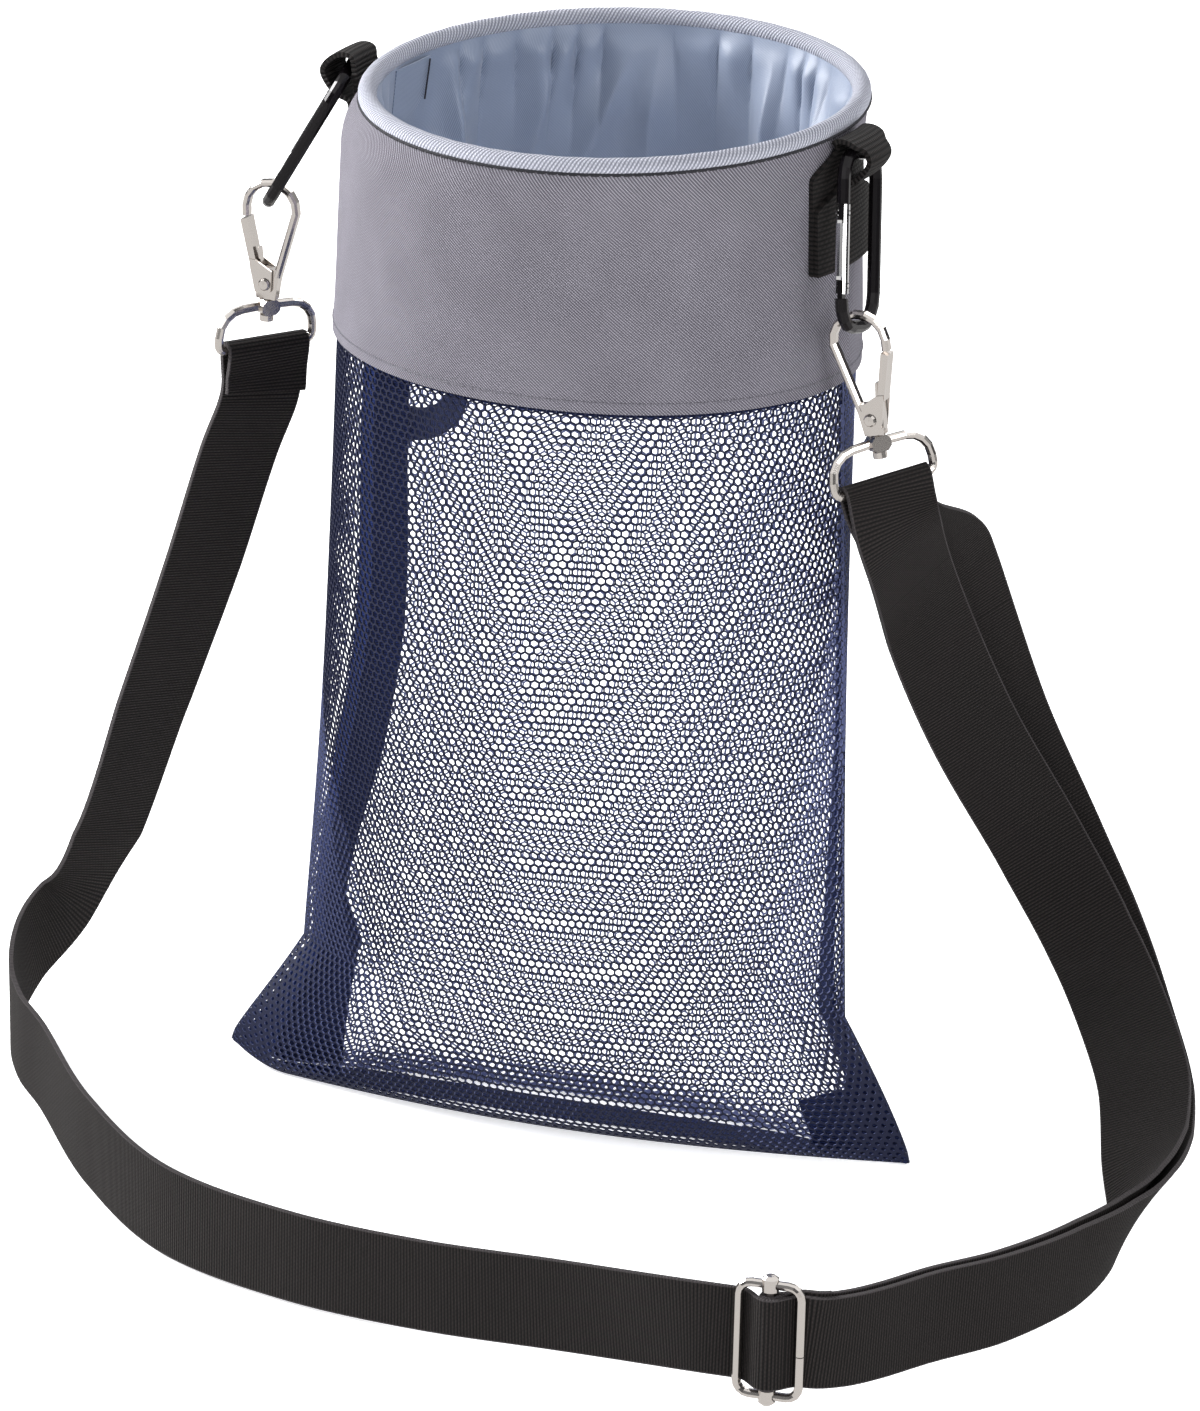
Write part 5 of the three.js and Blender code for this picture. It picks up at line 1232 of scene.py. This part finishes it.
def base_place(u, v):
    z = np.zeros_like(u)
    length, _, _, turn_by = net_section(z)
    x = (length - BASE_END) * np.cos(math.pi * u)
    lens = FOOT_DEPTH * np.maximum(0, 1 - (x / length) ** 2)
    half = np.maximum(BASE_MIN_HALF, np.minimum(BASE_HALF_WIDE, lens - BASE_MARGIN))
    return turned(x, (v - 0.5) * 2 * half, z, turn_by), np.c_[u * BASE_LONG, v * 2 * BASE_HALF_WIDE]


base_tape = grid_piece("bottom_binding", 100, 4, base_place, 1.0)
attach(dress(base_tape, tape_navy), "bag")
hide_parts("bottom_seam_binding")
print("base tape lowest, mm:", round(float(points_of(base_tape)[:, 2].min()) / MM, 2))

# %% [markdown]
# ## Webbing loops
# Each loop is a strip of heavy webbing that runs up the collar, over the carabiner's rod and back to
# the same seam. It is gathered where it passes round the rod and spreads again above it. The strip
# follows a side view of the loop, and every row of it is bent to the collar's curve, so that its feet
# lie flat on the cloth.

# %% Loops
LOOP_THICK, LOOP_FOOT_Z, LOOP_ROD_Z, LOOP_OUT, ROD_WIRE = 1.6, 305.5, 342.0, 7.0, 2.1
LOOP_NECK, LOOP_NECK_BACK, LOOP_UV = 14.5, 5.0, 36
# width of the foot, how far it lies to the front, and width above the rod
LOOP_SIZES = {"left": (28.0, 11.0, 15.0), "right": (36.0, 5.0, 20.0)}


def loop_rows():
    """The side view of a loop, as distances from the collar and heights"""
    inner = CLEAR + LOOP_THICK / 2
    outer, wrap = inner + LOOP_THICK + CLEAR, ROD_WIRE + CLEAR + LOOP_THICK / 2
    rod = LOOP_ROD_Z
    return [(inner, LOOP_FOOT_Z), (inner, rod - 14), (inner + 0.2, rod - 5), (inner + 1.6, rod + 1),
            (LOOP_OUT - 3, rod + wrap + 2.2), (LOOP_OUT + 2, rod + wrap + 2.2),
            (LOOP_OUT + wrap + 3.6, rod), (LOOP_OUT + 2.2, rod - wrap - 3.7),
            (outer + 0.8, rod - wrap - 6.2), (outer, rod - wrap - 9.6), (outer, LOOP_FOOT_Z)]


def webbing_loop(side, sign):
    foot_wide, foot_back, top_wide = LOOP_SIZES[side]
    rod = LOOP_ROD_Z
    run, line, _, _ = route_table([((x, 0, z), (0, 1, 0)) for x, z in loop_rows()], 20)

    def place(u, v):
        off, _, z = between(u, run / run[-1], line).T
        gather = np.where(u < 0.5, smooth(z, rod - 6, rod + 2.5), smooth(z, rod - 16, rod - 9.5))
        neck = lerp(LOOP_NECK, top_wide, smooth(z, rod + 2.8, rod + 4.8))
        y = lerp(foot_wide, neck, gather) * (v - 0.5) - lerp(foot_back, LOOP_NECK_BACK, gather)
        length, depth = collar_halves(z)
        x = length * np.sqrt(1 - (y / depth) ** 2) + off
        return np.c_[sign * x, sign * y, z], np.c_[u * run[-1], v * LOOP_UV]

    piece = grid_piece("loop_" + side, 120, 12, place, LOOP_THICK, offset=0.0)
    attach(dress(piece, loop_black), "bag")
    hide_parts("webbing_loop_" + side)
    print(piece.name, "points", len(piece.data.vertices))


for side, sign in zip(SIDES, (-1, 1)):
    webbing_loop(side, sign)

# %% [markdown]
# ## Floor and light
# A pale floor and a white room, with a large soft lamp at each side. Metal needs something to
# mirror, so glossy rays see a slightly darker floor and a room with a dark band at the horizon. Black
# cards beside the bag would do the same, but they would also darken the cloth.

# %% Floor
FLOOR_WIDE, FLOOR_DROP, FLOOR_GLOW = 12, 0.0006, 0.6
WHITE, MIRRORED_FLOOR = (1, 1, 1, 1), (0.8, 0.79, 0.78, 1)
bpy.ops.object.select_all(action="DESELECT")
bpy.ops.mesh.primitive_plane_add(size=FLOOR_WIDE, location=(0, 0, -FLOOR_DROP))
floor = bpy.context.object
floor.name = "studio_floor"
# Matt white paint: no shine of its own, so only the bag's soft shadow shows on it.
floor_paint, floor_tree, floor_shader = new_material("studio floor white", "#f7f7f7", 0.9,
                                                     Specular_IOR_Level=0.0)
floor_shader.inputs["Emission Color"].default_value = WHITE
floor_shader.inputs["Emission Strength"].default_value = FLOOR_GLOW
glossy = add(floor_tree, "LightPath", out="Is Glossy Ray")
dim = add(floor_tree, "Emission", {"Color": MIRRORED_FLOOR, "Strength": 1.0}, 0)
floor_mix = add(floor_tree, "MixShader", {0: glossy, 1: floor_shader.outputs[0], 2: dim}, 0)
floor_tree.links.new(floor_mix, floor_tree.nodes["Material Output"].inputs["Surface"])
floor.data.materials.append(floor_paint)
print("floor", floor.name)

# %% Lamps and room
# name, place in metres, size in metres, power in watts
LAMPS = [("key_lamp", (-2.4, -0.2, 1.4), 1.2, 130), ("fill_lamp", (2.2, -1.2, 1.4), 1.4, 32),
         ("front_lamp", (-0.4, -2.6, 2.0), 1.6, 6), ("back_lamp", (0.3, 2.2, 2.0), 1.6, 20)]
# where the room's height is 0.5 at the horizon and 1 overhead
HORIZON, BAND_TOP, SKY = (0.5, (0.03, 0.03, 0.035, 1)), (0.57, (0.05, 0.05, 0.055, 1)), (0.72, WHITE)
ROOM_LIGHT = (0.5, 0.51, 0.53, 1)


def lamp(name, place, size, power):
    bpy.ops.object.light_add(type="AREA", location=place)
    made = bpy.context.object
    made.name = name
    made.data.size = size
    made.data.energy = power
    made.rotation_euler = (TARGET - Vector(place)).to_track_quat("-Z", "Y").to_euler()
    return made


lamps = [lamp(*row) for row in LAMPS]
world = bpy.data.worlds.new("studio")
bpy.context.scene.world = world
world.use_nodes = True
room = world.node_tree
back = room.nodes["Background"]
height = add(room, "SeparateXYZ", {0: add(room, "TexCoord", out="Generated")}, 2)
height = add(room, "Math", {0: height, 1: 0.5, 2: 0.5}, 0, operation="MULTIPLY_ADD")
ramp_node = add(room, "ValToRGB", {0: height})
stops = ramp_node.color_ramp.elements
stops[0].position, stops[0].color = HORIZON
stops[1].position, stops[1].color = SKY
stops.new(BAND_TOP[0]).color = BAND_TOP[1]
rays = add(room, "LightPath").outputs
seen = add(room, "MixRGB", {0: rays["Is Glossy Ray"], 1: ROOM_LIGHT, 2: ramp_node.outputs[0]}, 0)
shown = add(room, "MixRGB", {0: rays["Is Camera Ray"], 1: seen, 2: WHITE}, 0)
room.links.new(shown, back.inputs["Color"])
back.inputs["Strength"].default_value = 1.0
print("lamps", len(lamps))
